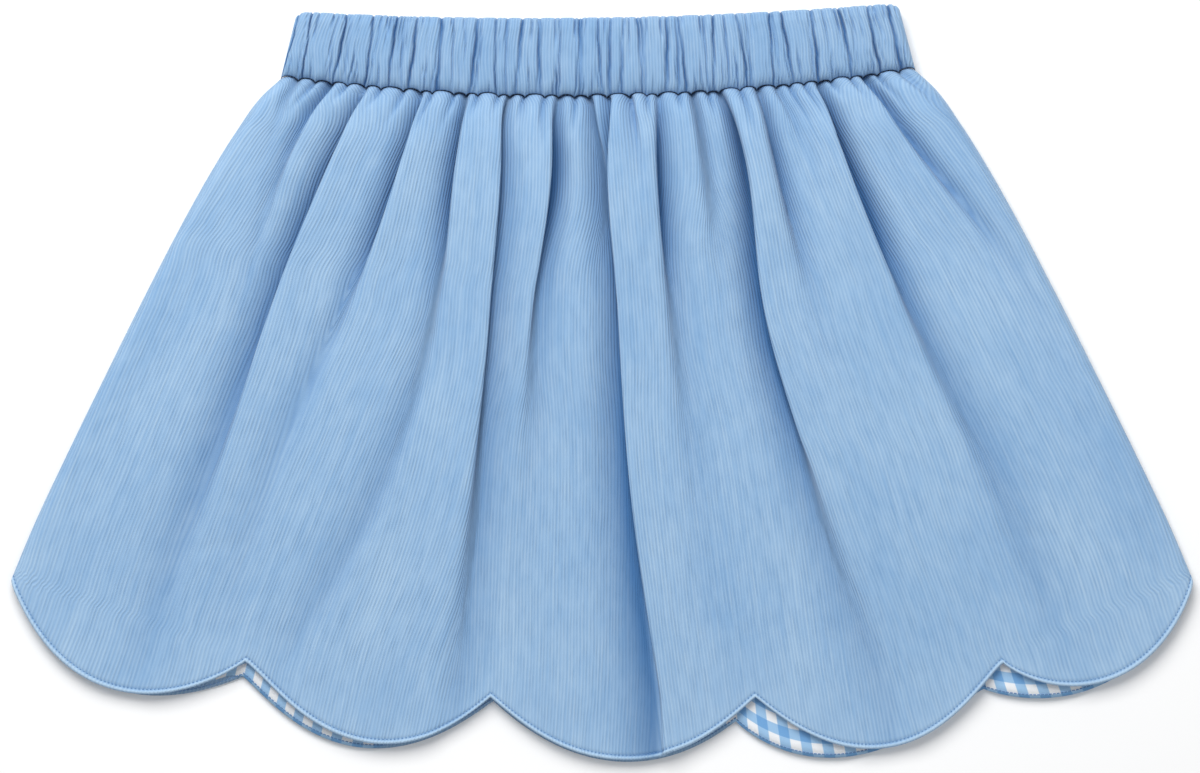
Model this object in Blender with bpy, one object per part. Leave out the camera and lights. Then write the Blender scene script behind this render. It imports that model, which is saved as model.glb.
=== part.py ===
"""Reversible gathered skirt with a scalloped hem, laid flat on a surface.

The front lies on the back. Each is a corduroy panel outside and a gingham panel inside, gathered
into an elasticated waistband. +X runs to the right, +Y from the hem to the waist, +Z up from the
surface. The origin is on the surface, at the middle of the skirt's outline.

Sizes below are millimetres. A panel is described by two shares: `across` runs 0 to 1 from the left
side seam to the right one, and `down` runs 0 to 1 from the waist seam to the notches of the hem.
"""

from collections import namedtuple

import bpy
import numpy as np

MM = 0.001

# Outline, seen from above
WAIST_LEFT, WAIST_RIGHT = -131.2, 128.0
HEM_LEFT, HEM_RIGHT = -241.5, 241.5
WAIST_CENTRE_Y, WAIST_TILT, WAIST_CURVE = 116.4, 0.0153, 0.000567
BAND_TOP_CENTRE_Y, BAND_TOP_CURVE = 148.7, 0.000281
BAND_TOP_LEFT, BAND_TOP_RIGHT = -125.2, 121.6
SWELL_DOWN = (0.0, 0.03, 0.11, 0.19, 0.27, 0.43, 0.6, 0.75, 0.9, 1.0)
SIDE_SWELL = (0.0, 3.4, 6.7, 8.0, 8.4, 7.8, 6.3, 4.7, 2.5, 0.0)

# Cloth and the levels of its layers
CORD, GINGHAM, APART = 1.2, 1.0, 0.3
BACK_LINING_Z = CORD + APART
FRONT_UNDER_Z = 2.9
VALLEY_Z = FRONT_UNDER_Z + GINGHAM + APART + CORD
SIDE_ROLL = 5.0
LINING_INSET = 5.0
LINING_TUCK = 1.4
LINING_MOST_Z = 6.6
LINING_NEAR = (0.016, 0.1)

# Waistband
BAND_INNER_Z, BAND_CREST_Z = 6.0, 11.6
BAND_GATHERS = 48
BAND_GATHER_DEPTH, BAND_GATHER_WIDTH = 2.7, 1.3
BAND_END_ROLL, BAND_END_EDGE = 6.0, 0.7
BAND_TOP_DIP = 0.25
BAND_SPAN, BAND_CORNER_DROP, BAND_CORNER_ROUND = 250.0, 2.2, 5.0

# Height of the front's ridges above the surface, by the share of the way down
CREST_DOWN = (0.0, 0.02, 0.06, 0.14, 0.34, 0.65, 1.0, 1.2)
CREST_Z = (8.8, 11.2, 13.0, 13.4, 11.8, 9.4, 6.6, 6.2)

# Corners and notches of each hem, from left to right. `drop` is how far each scallop bulges past the
# straight line between its two, `peak` moves its lowest point (left under 1, right over 1), and a
# larger `point` makes it more pointed.
Hem = namedtuple("Hem", "notch_x notch_y drop peak point")
FRONT_HEM = Hem(
    notch_x=(-241.5, -146.0, -45.5, 62.7, 164.0, 241.5),
    notch_y=(-80.6, -114.6, -129.2, -129.2, -115.2, -80.6),
    drop=(28.6, 25.5, 25.7, 27.5, 24.5),
    peak=(1.08, 1.16, 1.0, 0.9, 0.91),
    point=(0.97, 1.02, 1.08, 1.2, 0.97),
)
BACK_HEM = Hem(
    notch_x=(-241.5, -147.0, -44.5, 54.8, 156.4, 241.5),
    notch_y=(-81.4, -121.1, -131.0, -139.3, -126.0, -81.4),
    drop=(25.3, 24.0, 20.6, 20.2, 22.0),
    peak=(1.02, 1.07, 1.0, 0.79, 1.0),
    point=(1.05, 1.07, 1.03, 1.21, 0.95),
)

# Folds of the front, from left to right. `line` is the valley's share across and `depth` its drop
# from the ridges, each at FOLD_DOWN. `over` is the side whose ridge lies over the valley, -1 left
# or 1 right, and `lean` how far it leans.
Fold = namedtuple("Fold", "line depth over lean")
FOLD_DOWN = (0.0, 0.1, 0.35, 0.65, 1.0)
FOLDS = (
    Fold((0.028, 0.050, 0.058, 0.058, 0.058), (2.4, 1.0, 0.0, 0.0, 0.0), 1, 0.2),
    Fold((0.080, 0.078, 0.092, 0.095, 0.096), (5.6, 3.6, 0.8, 0.0, 0.0), 1, 0.4),
    Fold((0.134, 0.133, 0.125, 0.123, 0.118), (3.0, 7.6, 5.8, 3.6, 1.0), 1, 0.9),
    Fold((0.220, 0.224, 0.210, 0.181, 0.175), (3.6, 9.2, 3.2, 1.6, 0.4), 1, 0.8),
    Fold((0.292, 0.296, 0.309, 0.289, 0.227), (3.6, 7.2, 2.8, 2.2, 1.0), 1, 0.6),
    Fold((0.361, 0.374, 0.383, 0.384, 0.376), (3.2, 6.6, 5.6, 3.6, 1.8), -1, 0.9),
    Fold((0.438, 0.445, 0.434, 0.430, 0.424), (3.2, 7.4, 3.6, 0.9, 0.0), -1, 0.8),
    Fold((0.484, 0.491, 0.493, 0.496, 0.502), (4.4, 4.0, 0.0, 0.0, 0.0), 1, 0.4),
    Fold((0.514, 0.507, 0.512, 0.520, 0.541), (5.0, 7.0, 7.6, 7.6, 6.0), 1, 1.1),
    Fold((0.549, 0.556, 0.560, 0.562, 0.566), (4.4, 1.2, 0.0, 0.0, 0.0), 1, 0.2),
    Fold((0.594, 0.588, 0.586, 0.591, 0.590), (2.8, 7.2, 3.4, 0.8, 0.0), -1, 0.6),
    Fold((0.647, 0.646, 0.641, 0.643, 0.643), (3.8, 3.0, 0.2, 0.0, 0.0), -1, 0.4),
    Fold((0.690, 0.692, 0.679, 0.700, 0.736), (4.2, 9.4, 9.4, 3.8, 1.4), 1, 0.9),
    Fold((0.750, 0.744, 0.745, 0.764, 0.778), (4.0, 5.4, 1.2, 0.0, 0.0), -1, 0.6),
    Fold((0.780, 0.785, 0.800, 0.815, 0.825), (2.6, 0.8, 0.0, 0.0, 0.0), -1, 0.2),
    Fold((0.847, 0.841, 0.849, 0.872, 0.886), (4.4, 10.4, 4.8, 2.4, 0.6), -1, 0.5),
    Fold((0.918, 0.926, 0.966, 0.976, 0.976), (5.6, 5.0, 1.4, 0.0, 0.0), -1, 0.4),
    Fold((0.973, 0.988, 0.990, 0.990, 0.990), (2.2, 0.8, 0.0, 0.0, 0.0), -1, 0.2),
)
PUCKER_PITCH, PUCKER_DEPTH, PUCKER_WIDTH = 6.5, 2.2, 1.5
PUCKER_REACH = (5.0, 15.0)
LEAN_SPREAD, MOST_LEAN, WAIST_STIFF = 18.0, 1.2, 0.012
CRISP_WIDTH = (1.7, 3.2)
SOFT_WIDTH = (2.4, 14.0)
CRISP_DEPTH, ROUND_EDGE = 5.0, 0.6
RAISED_EDGE, RAISED_SPREAD = 0.26, 9.0

# Rows of points down a panel, and points across each scallop of it
FRONT_ROWS = (0.0, 0.012, 0.03, 0.055, 0.09, 0.14, 0.21, 0.3, 0.4, 0.52, 0.64, 0.76, 0.88, 1.0)
FRONT_FINE_ROWS = 6
FRONT_FINE = (30, 28, 32, 30, 24)
FRONT_PLAIN = (20, 19, 21, 20, 16)
LINING_ROWS = (0.0, 0.03, 0.09, 0.18, 0.3, 0.45, 0.62, 0.8, 1.0)
LINING_POINTS = (15, 14, 16, 15, 12)
BACK_ROWS = (0.0, 0.25, 0.5, 0.75, 1.0)
BACK_POINTS = (16, 16, 16, 16, 16)
BAND_FRONT_POINTS, BAND_BACK_POINTS = 4 * BAND_GATHERS, 2 * BAND_GATHERS

CORD_BLUE = (0.29, 0.46, 0.69)
GINGHAM_BLUE = (0.52, 0.66, 0.82)


def mix(a, b, share):
    return a + (b - a) * share


def through(stations, values, at):
    """A smooth line through the values, one at each station, read at any number of places."""
    x, y = np.asarray(stations, float), np.asarray(values, float)
    slope = np.gradient(y, x)
    at = np.clip(at, x[0], x[-1])
    i = np.clip(np.searchsorted(x, at, side="right") - 1, 0, len(x) - 2)
    width = x[i + 1] - x[i]
    t = (at - x[i]) / width
    return (
        (2 * t**3 - 3 * t**2 + 1) * y[i]
        + (t**3 - 2 * t**2 + t) * width * slope[i]
        + (3 * t**2 - 2 * t**3) * y[i + 1]
        + (t**3 - t**2) * width * slope[i + 1]
    )


def rounded(distance, radius):
    """A quarter round: 0 at the edge, 1 from one radius inside it."""
    t = 1 - np.clip(distance, 0, radius) / radius
    return np.sqrt(1 - t * t)


def waist_y(x):
    return WAIST_CENTRE_Y + WAIST_TILT * x + WAIST_CURVE * x * x


def band_top_y(x):
    return BAND_TOP_CENTRE_Y + WAIST_TILT * x + BAND_TOP_CURVE * x * x


def fan(hem, across, down):
    """The flat place of a point of a panel, which fans out from the waist to the hem."""
    top_x = mix(WAIST_LEFT, WAIST_RIGHT, across)
    low_x = mix(HEM_LEFT, HEM_RIGHT, across)
    low_y = np.interp(low_x, hem.notch_x, hem.notch_y)
    swell = through(SWELL_DOWN, SIDE_SWELL, down)
    x = mix(top_x, low_x, down) + mix(-swell, swell, across)
    y = mix(waist_y(top_x) - APART / 2, low_y, down)
    return x, y


def row_width(down):
    left, _ = fan(FRONT_HEM, np.float64(0), down)
    right, _ = fan(FRONT_HEM, np.float64(1), down)
    return right - left


def pucker_lines():
    """Shares across of the short puckers that fill the seam between the long folds."""
    ends = [0.0] + [fold.line[0] for fold in FOLDS] + [1.0]
    width = WAIST_RIGHT - WAIST_LEFT
    lines = []
    for left, right in zip(ends, ends[1:]):
        count = round((right - left) * width / PUCKER_PITCH)
        lines += [mix(left, right, (k + 0.22 * np.sin(2.7 * k + 9 * left)) / count) for k in range(1, count)]
    return lines


def front_height(across, down):
    """Height of the corduroy's outer face: ridges, less the valley of each fold and pucker."""
    width = row_width(down)
    z = through(CREST_DOWN, CREST_Z, down)
    crisp, soft = mix(*CRISP_WIDTH, np.clip(down, 0, 1)), mix(*SOFT_WIDTH, np.clip(down, 0, 1))
    for fold in FOLDS:
        gap = fold.over * (across - through(FOLD_DOWN, fold.line, down)) * width
        depth = through(FOLD_DOWN, fold.depth, down)
        edge = mix(ROUND_EDGE * soft, crisp, np.clip(depth / CRISP_DEPTH, 0, 1))
        side = np.where(gap > 0, edge, soft)
        valley = depth * (1 + (gap / side) ** 2) ** -1.5
        raised = RAISED_EDGE * depth * np.exp(-(((gap - RAISED_SPREAD / 2) / RAISED_SPREAD) ** 2))
        z = z + np.where(gap > 0, raised, 0) * (1 - np.exp(-((gap / edge) ** 2))) - valley
    below = down * (WAIST_CENTRE_Y - FRONT_HEM.notch_y[2])
    for k, line in enumerate(pucker_lines()):
        gap = (across - line) * width
        reach = mix(*PUCKER_REACH, 0.5 + 0.5 * np.sin(5.1 * k))
        depth = PUCKER_DEPTH * np.exp(-((below / reach) ** 2))
        z = z - depth * (1 + (gap / PUCKER_WIDTH) ** 2) ** -1.5
    above = z - VALLEY_Z
    z = VALLEY_Z + 0.5 * (above + np.sqrt(above * above + 0.25))
    edge = FRONT_UNDER_Z + 1.0
    inside = np.minimum(across, 1 - across) * width
    return edge + (z - edge) * rounded(inside, SIDE_ROLL)


def steepness(height, across, down):
    """How much longer a wall is measured upright than square to its slope, at most 3."""
    step = 0.6 / row_width(down)
    rise = (height(across + step, down) - height(across - step, down)) / 1.2
    return np.clip(np.sqrt(1 + rise * rise), 1, 3)


def front_inner_height(across, down):
    """Height of the corduroy's inner face."""
    under = front_height(across, down) - CORD * steepness(front_height, across, down)
    inside = np.minimum(across, 1 - across) * row_width(down)
    floor = mix(FRONT_UNDER_Z, VALLEY_Z - CORD, rounded(inside, SIDE_ROLL))
    return np.maximum(under, floor)


def lining_height(across, down):
    """Height of the front lining's upper face: it passes under the lowest cloth near each point."""
    least = (LINING_INSET - 1.0) / row_width(down)
    near = [
        front_inner_height(np.clip(across + k, least, 1 - least), np.maximum(down + j, 0))
        for k in np.linspace(-LINING_NEAR[0], LINING_NEAR[0], 9)
        for j in (-LINING_NEAR[1], 0, LINING_NEAR[1])
    ]
    low = np.minimum.reduce(near) - 2 * APART
    return np.clip(low, VALLEY_Z - CORD - APART, LINING_MOST_Z)


def lean(across, down):
    """Sideways lean of the front's folds, in millimetres for each millimetre above the valleys.

    The ridges stay where they are, and the valleys slide under them.
    """
    width = row_width(down)
    total = 0.0
    for fold in FOLDS:
        gap = (across - through(FOLD_DOWN, fold.line, down)) * width
        strength = fold.lean * np.clip(through(FOLD_DOWN, fold.depth, down) / 5, 0, 1)
        total = total - fold.over * strength * np.exp(-((gap / LEAN_SPREAD) ** 2))
    from_side = np.minimum(across, 1 - across) * width
    near_waist = down / (down + WAIST_STIFF)
    return np.clip(total, -MOST_LEAN, MOST_LEAN) * rounded(from_side, LEAN_SPREAD) * near_waist


class Panel:
    """Shares of a panel's points, spaced evenly over its cloth, with each notch on a column."""

    def __init__(self, hem, height):
        self.hem, self.inset, self.tuck = hem, 0.0, 0.0
        self.downs = np.linspace(0, 1.25, 90)
        self.across = np.linspace(0, 1, 1601)
        self.cloth = np.array([self.lengths(height, down) for down in self.downs])
        notch = (np.array(hem.notch_x) - HEM_LEFT) / (HEM_RIGHT - HEM_LEFT)
        self.at_notch = np.argmin(abs(self.downs - 1))
        self.notch = np.interp(notch, self.across, self.cloth[self.at_notch])

    def lengths(self, height, down):
        """Share of the cloth's width that lies left of each point of one row."""
        x, y = fan(self.hem, self.across, down)
        z = height(self.across, down)
        steps = np.sqrt(np.diff(x) ** 2 + np.diff(y) ** 2 + np.diff(z) ** 2)
        along = np.concatenate([[0], np.cumsum(steps)])
        return along / along[-1]

    def columns(self, points):
        """Shares of the cloth's width at each column, with so many columns to each scallop."""
        starts = zip(self.notch, self.notch[1:], points)
        parts = [np.linspace(a, b, n, endpoint=False) for a, b, n in starts]
        return np.concatenate(parts + [[1.0]])

    def scallop(self, cloth):
        """Each column's bulge past the line between the notches, as a share of the way down."""
        i = np.clip(np.searchsorted(self.notch, cloth, side="right") - 1, 0, 4)
        t = np.clip((cloth - self.notch[i]) / (self.notch[i + 1] - self.notch[i]), 0, 1)
        t = t ** np.array(self.hem.peak)[i]
        round_off = np.clip(4 * t * (1 - t), 0, 1) ** np.array(self.hem.point)[i]
        bulge = np.array(self.hem.drop)[i] * round_off
        run, rise = np.diff(self.hem.notch_x)[i], np.diff(self.hem.notch_y)[i]
        across = np.interp(cloth, self.cloth[self.at_notch], self.across)
        length = fan(self.hem, across, 0.0)[1] - fan(self.hem, across, 1.0)[1]
        return (bulge * run / np.hypot(run, rise) - self.tuck) / length

    def row(self, share, points):
        """(cloth shares, across, down) of the points of one row."""
        cloth = self.columns(points)
        down = share * (1 + self.scallop(cloth))
        places = np.array([np.interp(cloth, line, self.across) for line in self.cloth])
        across = np.array([np.interp(d, self.downs, places[:, j]) for j, d in enumerate(down)])
        inset = self.inset / row_width(down)
        return cloth, inset + across * (1 - 2 * inset), down


def face(panel, rows, height, leaning):
    """One face of a wall: its rows of points, and each point's share of the cloth."""
    found = []
    for cloth, across, down in rows:
        x, y = fan(panel.hem, across, down)
        z = height(across, down)
        if leaning:
            x = x + lean(across, down) * (z - through(CREST_DOWN, CREST_Z, down))
        found.append((cloth, np.column_stack([x, y, z])))
    return found


class Mesh:
    """Points and triangles of one closed solid."""

    def __init__(self):
        self.points, self.triangles = [], []

    def add(self, points):
        first = len(self.points)
        self.points += [tuple(p) for p in points]
        return list(range(first, first + len(points)))

    def strip(self, a, b, share_a, share_b, flip=False):
        """Joins two rows of points by triangles, whatever their numbers of points."""
        i = j = 0
        while i < len(a) - 1 or j < len(b) - 1:
            step_a = share_a[i + 1] if i < len(a) - 1 else np.inf
            step_b = share_b[j + 1] if j < len(b) - 1 else np.inf
            if step_a <= step_b:
                triangle = (a[i], a[i + 1], b[j])
                i += 1
            else:
                triangle = (a[i], b[j + 1], b[j])
                j += 1
            self.triangles.append(triangle[::-1] if flip else triangle)

    def finish(self, name, colour):
        mesh = bpy.data.meshes.new(name)
        mesh.from_pydata([[c * MM for c in p] for p in self.points], [], self.triangles)
        mesh.validate()
        mesh.shade_smooth()
        obj = bpy.data.objects.new(name, mesh)
        bpy.context.scene.collection.objects.link(obj)
        material = bpy.data.materials.new(name)
        material.use_nodes = True
        shader = material.node_tree.nodes["Principled BSDF"]
        shader.inputs["Base Color"].default_value = (*colour, 1)
        shader.inputs["Roughness"].default_value = 0.9
        shader.inputs["Metallic"].default_value = 0.0
        mesh.materials.append(material)
        return obj


def wall(name, upper, lower, colour):
    """A closed wall between an upper and a lower face with the same rows."""
    mesh = Mesh()
    tops = [mesh.add(points) for _, points in upper]
    unders = [mesh.add(points) for _, points in lower]
    cloth = [shares for shares, _ in upper]
    for k in range(len(tops) - 1):
        mesh.strip(tops[k], tops[k + 1], cloth[k], cloth[k + 1], flip=True)
        mesh.strip(unders[k], unders[k + 1], cloth[k], cloth[k + 1])
        sides = ((tops[k][0], unders[k][0], unders[k + 1][0], tops[k + 1][0]),)
        sides += ((tops[k + 1][-1], unders[k + 1][-1], unders[k][-1], tops[k][-1]),)
        for a, b, c, d in sides:
            mesh.triangles += [(a, b, c), (a, c, d)]
    mesh.strip(tops[0], unders[0], cloth[0], cloth[0])
    mesh.strip(tops[-1], unders[-1], cloth[-1], cloth[-1], flip=True)
    return mesh.finish(name, colour)


def build_front():
    """The front's corduroy panel and, under it, its gingham panel."""
    panel = Panel(FRONT_HEM, front_height)
    rows = [
        panel.row(share, FRONT_FINE if k < FRONT_FINE_ROWS else FRONT_PLAIN)
        for k, share in enumerate(FRONT_ROWS)
    ]
    outer = face(panel, rows, front_height, leaning=True)
    inner = face(panel, rows, front_inner_height, leaning=True)
    wall("cord_front", outer, inner, CORD_BLUE)
    panel.inset, panel.tuck = LINING_INSET, LINING_TUCK
    rows = [panel.row(share, LINING_POINTS) for share in LINING_ROWS]
    upper = face(panel, rows, lining_height, leaning=True)
    lower = face(panel, rows, lambda a, d: lining_height(a, d) - GINGHAM, leaning=True)
    wall("gingham_front", upper, lower, GINGHAM_BLUE)


def back_under_height(across, down):
    """Height of the back's underside: flat on the surface, turned up at the side seams."""
    inside = np.minimum(across, 1 - across) * row_width(down)
    return (FRONT_UNDER_Z - APART - 1.0) * (1 - rounded(inside, SIDE_ROLL))


def build_back():
    """The back's corduroy panel, flat on the surface, and its gingham panel on top of it."""
    panel = Panel(BACK_HEM, lambda across, down: 0 * across)
    rows = [panel.row(share, BACK_POINTS) for share in BACK_ROWS]
    edge = [rounded_columns(row) for row in rows]
    thick = lambda a, d: back_under_height(a, d) + mix(CORD, 1.0, 1 - rounded_share(a, d))
    upper = face(panel, edge, thick, leaning=False)
    lower = face(panel, edge, back_under_height, leaning=False)
    wall("cord_back", upper, lower, CORD_BLUE)
    panel.inset, panel.tuck = LINING_INSET, LINING_TUCK
    rows = [panel.row(share, BACK_POINTS) for share in BACK_ROWS]
    flat = lambda z: lambda a, d: 0 * a + z
    upper = face(panel, rows, flat(BACK_LINING_Z + GINGHAM), leaning=False)
    lower = face(panel, rows, flat(BACK_LINING_Z), leaning=False)
    wall("gingham_back", upper, lower, GINGHAM_BLUE)


def rounded_share(across, down):
    return rounded(np.minimum(across, 1 - across) * row_width(down), SIDE_ROLL)


def rounded_columns(row):
    """Adds columns close to both side seams, where the cloth turns up."""
    cloth, across, down = row
    turned = np.array([0.04, 0.13, 0.3, 0.6, 1.0]) * SIDE_ROLL
    near = turned / row_width(down[0])
    far = turned / row_width(down[-1])
    wide = np.concatenate([across[:1], near, across[1:-1], 1 - far[::-1], across[-1:]])
    down = np.interp(wide, across, down)
    return np.interp(wide, across, cloth), wide, down


def band_gathers(across, up):
    """Depth of the waistband's gathers: narrow creases that wander as they climb the band."""
    width = (WAIST_RIGHT - WAIST_LEFT) * 0.97
    total = np.zeros(np.broadcast(across, up).shape)
    for k in range(BAND_GATHERS + 1):
        foot = (k + 0.33 * np.sin(2.4 * k)) / BAND_GATHERS
        head = (k + 0.33 * np.sin(1.7 * k + 2.0)) / BAND_GATHERS
        depth = BAND_GATHER_DEPTH * (0.75 + 0.25 * np.sin(3.1 * k + 1.0))
        gap = (across - mix(foot, head, up)) * width
        total = total + depth * (1 + (gap / BAND_GATHER_WIDTH) ** 2) ** -1.5
    return total


def band_place(across, up):
    """The flat place of a point of the waistband: up runs 0 to 1 from the seam to the top edge."""
    low_x = mix(WAIST_LEFT, WAIST_RIGHT, across)
    top_x = mix(BAND_TOP_LEFT, BAND_TOP_RIGHT, across)
    from_end = np.minimum(across, 1 - across) * BAND_SPAN
    corner = BAND_CORNER_DROP * (1 - rounded(from_end, BAND_CORNER_ROUND))
    low, high = waist_y(low_x) + APART / 2, band_top_y(top_x) - corner
    high = high - BAND_TOP_DIP * band_gathers(across, 1.0)
    return mix(low_x, top_x, up), mix(low, high, up)


# The waistband's section: how far up it each point lies, and its share of the way out to the crest
BAND_UP = (0.0, 0.07, 0.24, 0.5, 0.76, 0.92, 0.99, 1.0)
BAND_OUT = (0.5, 0.8, 0.97, 1.0, 0.96, 0.84, 0.5, 0.0)


def build_waistband():
    """The two halves of the gathered casing over its elastic, joined at the side seams."""
    crest = BAND_CREST_Z - BAND_INNER_Z
    for name, points, inner, out, gathered in (
        ("waistband_front", BAND_FRONT_POINTS, BAND_INNER_Z, 1, 1.0),
        ("waistband_back", BAND_BACK_POINTS, BAND_INNER_Z - APART, -1, 0.0),
    ):
        thick = crest if out > 0 else inner
        across = np.linspace(0, 1, points + 1)
        end = rounded(np.minimum(across, 1 - across) * BAND_SPAN, BAND_END_ROLL)
        section = []
        for up, share in zip(BAND_UP, BAND_OUT):
            full = BAND_END_EDGE + (thick - BAND_END_EDGE) * (share if out > 0 else min(1, 1.25 * share))
            crease = band_gathers(across, up) * gathered * share
            rise = (BAND_END_EDGE * min(1, 2 * share) * (1 - end)) + (full - crease) * end
            rise = np.where(share > 0, rise, 0)
            x, y = band_place(across, up)
            section.append(np.column_stack([x, y, inner + out * rise]))
        x, y = band_place(across, 0.0)
        section.append(np.column_stack([x, y, np.full(points + 1, inner)]))
        loft(name, section, across, CORD_BLUE, flip=out < 0)


def loft(name, section, across, colour, flip):
    """A closed solid swept across: each line of the section joined to the next, round to the first."""
    mesh = Mesh()
    lines = [mesh.add(line) for line in section]
    for a, b in zip(lines, lines[1:] + lines[:1]):
        mesh.strip(a, b, across, across, flip=flip)
    for at, turn in ((0, False), (-1, True)):
        ring = [line[at] for line in lines]
        for k in range(1, len(ring) - 1):
            triangle = (ring[0], ring[k], ring[k + 1])
            mesh.triangles.append(triangle[::-1] if turn != flip else triangle)
    return mesh.finish(name, colour)


def main():
    for obj in list(bpy.data.objects):
        bpy.data.objects.remove(obj)
    build_front()
    build_back()
    build_waistband()


main()
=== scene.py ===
"""Looks of a child's reversible skirt, laid flat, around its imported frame.

The frame gives the solids. Here each of them gets a thin shell with the folds, gathers, turned
edges and stitching of the real thing, and cloth materials: needlecord outside, gingham inside.

Lengths are millimetres until a mesh is made. A place on a panel is two shares: `across`, 0 to 1
from the left side seam to the right one, and `down`, 0 to 1 from the waist seam to the notches of
the hem. +X runs to the right, +Y from the hem to the waist and +Z up, towards the camera.
"""

import logging
import math
from dataclasses import dataclass
from enum import Enum
from typing import Callable, Sequence

import bmesh
import bpy
import numpy as np
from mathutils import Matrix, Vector


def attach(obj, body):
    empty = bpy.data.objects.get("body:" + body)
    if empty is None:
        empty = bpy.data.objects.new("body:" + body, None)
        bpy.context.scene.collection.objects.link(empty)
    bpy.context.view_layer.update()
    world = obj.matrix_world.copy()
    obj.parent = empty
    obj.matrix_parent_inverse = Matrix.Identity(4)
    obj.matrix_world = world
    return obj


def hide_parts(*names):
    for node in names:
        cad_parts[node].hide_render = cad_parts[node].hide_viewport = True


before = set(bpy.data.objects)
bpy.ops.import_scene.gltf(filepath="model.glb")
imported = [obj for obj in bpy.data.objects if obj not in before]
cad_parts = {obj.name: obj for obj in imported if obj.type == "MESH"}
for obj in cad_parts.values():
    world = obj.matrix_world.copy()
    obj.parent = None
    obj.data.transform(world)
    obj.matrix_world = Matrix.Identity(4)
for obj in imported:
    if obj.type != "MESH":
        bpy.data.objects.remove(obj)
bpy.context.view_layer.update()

LOG = logging.getLogger("skirt")
MM = 0.001
Array = np.ndarray
Height = Callable[[Array, Array], Array]

# Outline, as in the frame
WAIST_LEFT, WAIST_RIGHT = -131.2, 128.0
HEM_LEFT, HEM_RIGHT = -241.5, 241.5
WAIST_CENTRE_Y, WAIST_TILT, WAIST_CURVE = 116.4, 0.0153, 0.000567
BAND_TOP_CENTRE_Y, BAND_TOP_CURVE = 148.7, 0.000281
BAND_TOP_LEFT, BAND_TOP_RIGHT = -125.2, 121.6
SWELL_DOWN = (0.0, 0.03, 0.11, 0.19, 0.27, 0.43, 0.6, 0.75, 0.9, 1.0)
SIDE_SWELL = (0.0, 3.4, 6.7, 8.0, 8.4, 7.8, 6.3, 4.7, 2.5, 0.0)

# Levels of the layers
CORD, GINGHAM, APART = 1.2, 1.0, 0.3
BACK_LINING_Z = CORD + APART
FRONT_UNDER_Z = 2.9
VALLEY_Z = FRONT_UNDER_Z + GINGHAM + APART + CORD
SEAM_Z = 2.6
SIDE_ROLL = 5.0
LINING_INSET, LINING_TUCK, INSET_POWER = 5.0, 1.4, 8
CREST_DOWN = (0.0, 0.02, 0.06, 0.14, 0.34, 0.65, 1.0, 1.2)
CREST_Z = (8.8, 11.2, 13.0, 13.4, 11.8, 9.4, 6.6, 6.2)
PUCKER_PITCH, PUCKER_DEPTH, PUCKER_WIDTH = 6.5, 2.2, 1.5
PUCKER_REACH = (5.0, 15.0)
LEAN_SPREAD, MOST_LEAN, WAIST_STIFF = 18.0, 1.2, 0.012
CRISP_WIDTH = (1.7, 3.2)
SOFT_WIDTH = (2.4, 14.0)
CRISP_DEPTH, ROUND_EDGE = 5.0, 0.6
RAISED_EDGE, RAISED_SPREAD = 0.26, 9.0

# Painted shade beside folds and puckers, up to 1, and painted light on the hem, down to -1
SHADE_CRISP, SHADE_SOFT, SHADE_DEPTH = (1.5, 3.0), (2.6, 11.0), 6.5
SHADE_MOST, SHADE_FALL = 1.6, 1.6
PUCKER_SHADE, PUCKER_SHADE_WIDTH, PUCKER_SHADE_REACH = 0.75, 1.1, 0.9
WAIST_SHADE, WAIST_SHADE_DOWN = 0.06, 0.13
SEAM_SHADE, SEAM_SHADE_MM, SEAM_SHADE_UP = 0.4, 0.4, 0.012
STITCH_SHADE, STITCH_SHADE_MM = 0.3, 0.4
# Painted highlight along the hem's rounded edge, and painted light that lightens the cloth near the hem
EDGE_HIGHLIGHT, EDGE_HIGHLIGHT_IN, EDGE_HIGHLIGHT_MM = 0.8, 0.8, 0.55
HEM_PAINTED_LIGHT, HEM_PAINTED_LIGHT_MM = 0.2, 14.0
BAND_SHADE = 0.17

# Waistband
BAND_INNER_Z, BAND_CREST_Z = 6.0, 11.6
BAND_GATHERS = 48
BAND_END_ROLL, BAND_END_EDGE = 6.0, 0.7
BAND_TOP_DIP = 0.25
BAND_CLOTH_WIDTH = 256.0

# Stitches
HEM_STITCH_IN, STITCH_PITCH, STITCH_LENGTH, STITCH_RADIUS = 2.0, 1.6, 0.8, 0.24
BACK_STITCH_IN, BACK_STITCH_LENGTH = 1.5, 1.35
STITCH_PROUD = 0.05
STITCH_COLUMNS = (400, 400, 400, 400, 400)


@dataclass(frozen=True)
class Hem:
    """Corners and notches of a hem, from left to right, and the shape of each scallop.

    `drop` is its bulge past the chord, `peak` moves its lowest point (left under 1, right over 1),
    and a larger `point` makes it more pointed.
    """

    notch_x: tuple[float, ...]
    notch_y: tuple[float, ...]
    drop: tuple[float, ...]
    peak: tuple[float, ...]
    point: tuple[float, ...]


@dataclass(frozen=True)
class Fold:
    """A fold of the front: its valley's share across and its depth, each at FOLD_DOWN.

    `over` is the side whose ridge lies over the valley, -1 left or 1 right.
    """

    line: tuple[float, float, float, float, float]
    depth: tuple[float, float, float, float, float]
    over: int
    lean: float


@dataclass(frozen=True)
class Crease:
    """A soft trough, or a ridge where `depth` is negative, between two places on a panel."""

    start: tuple[float, float]
    end: tuple[float, float]
    depth: float
    width: float


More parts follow.
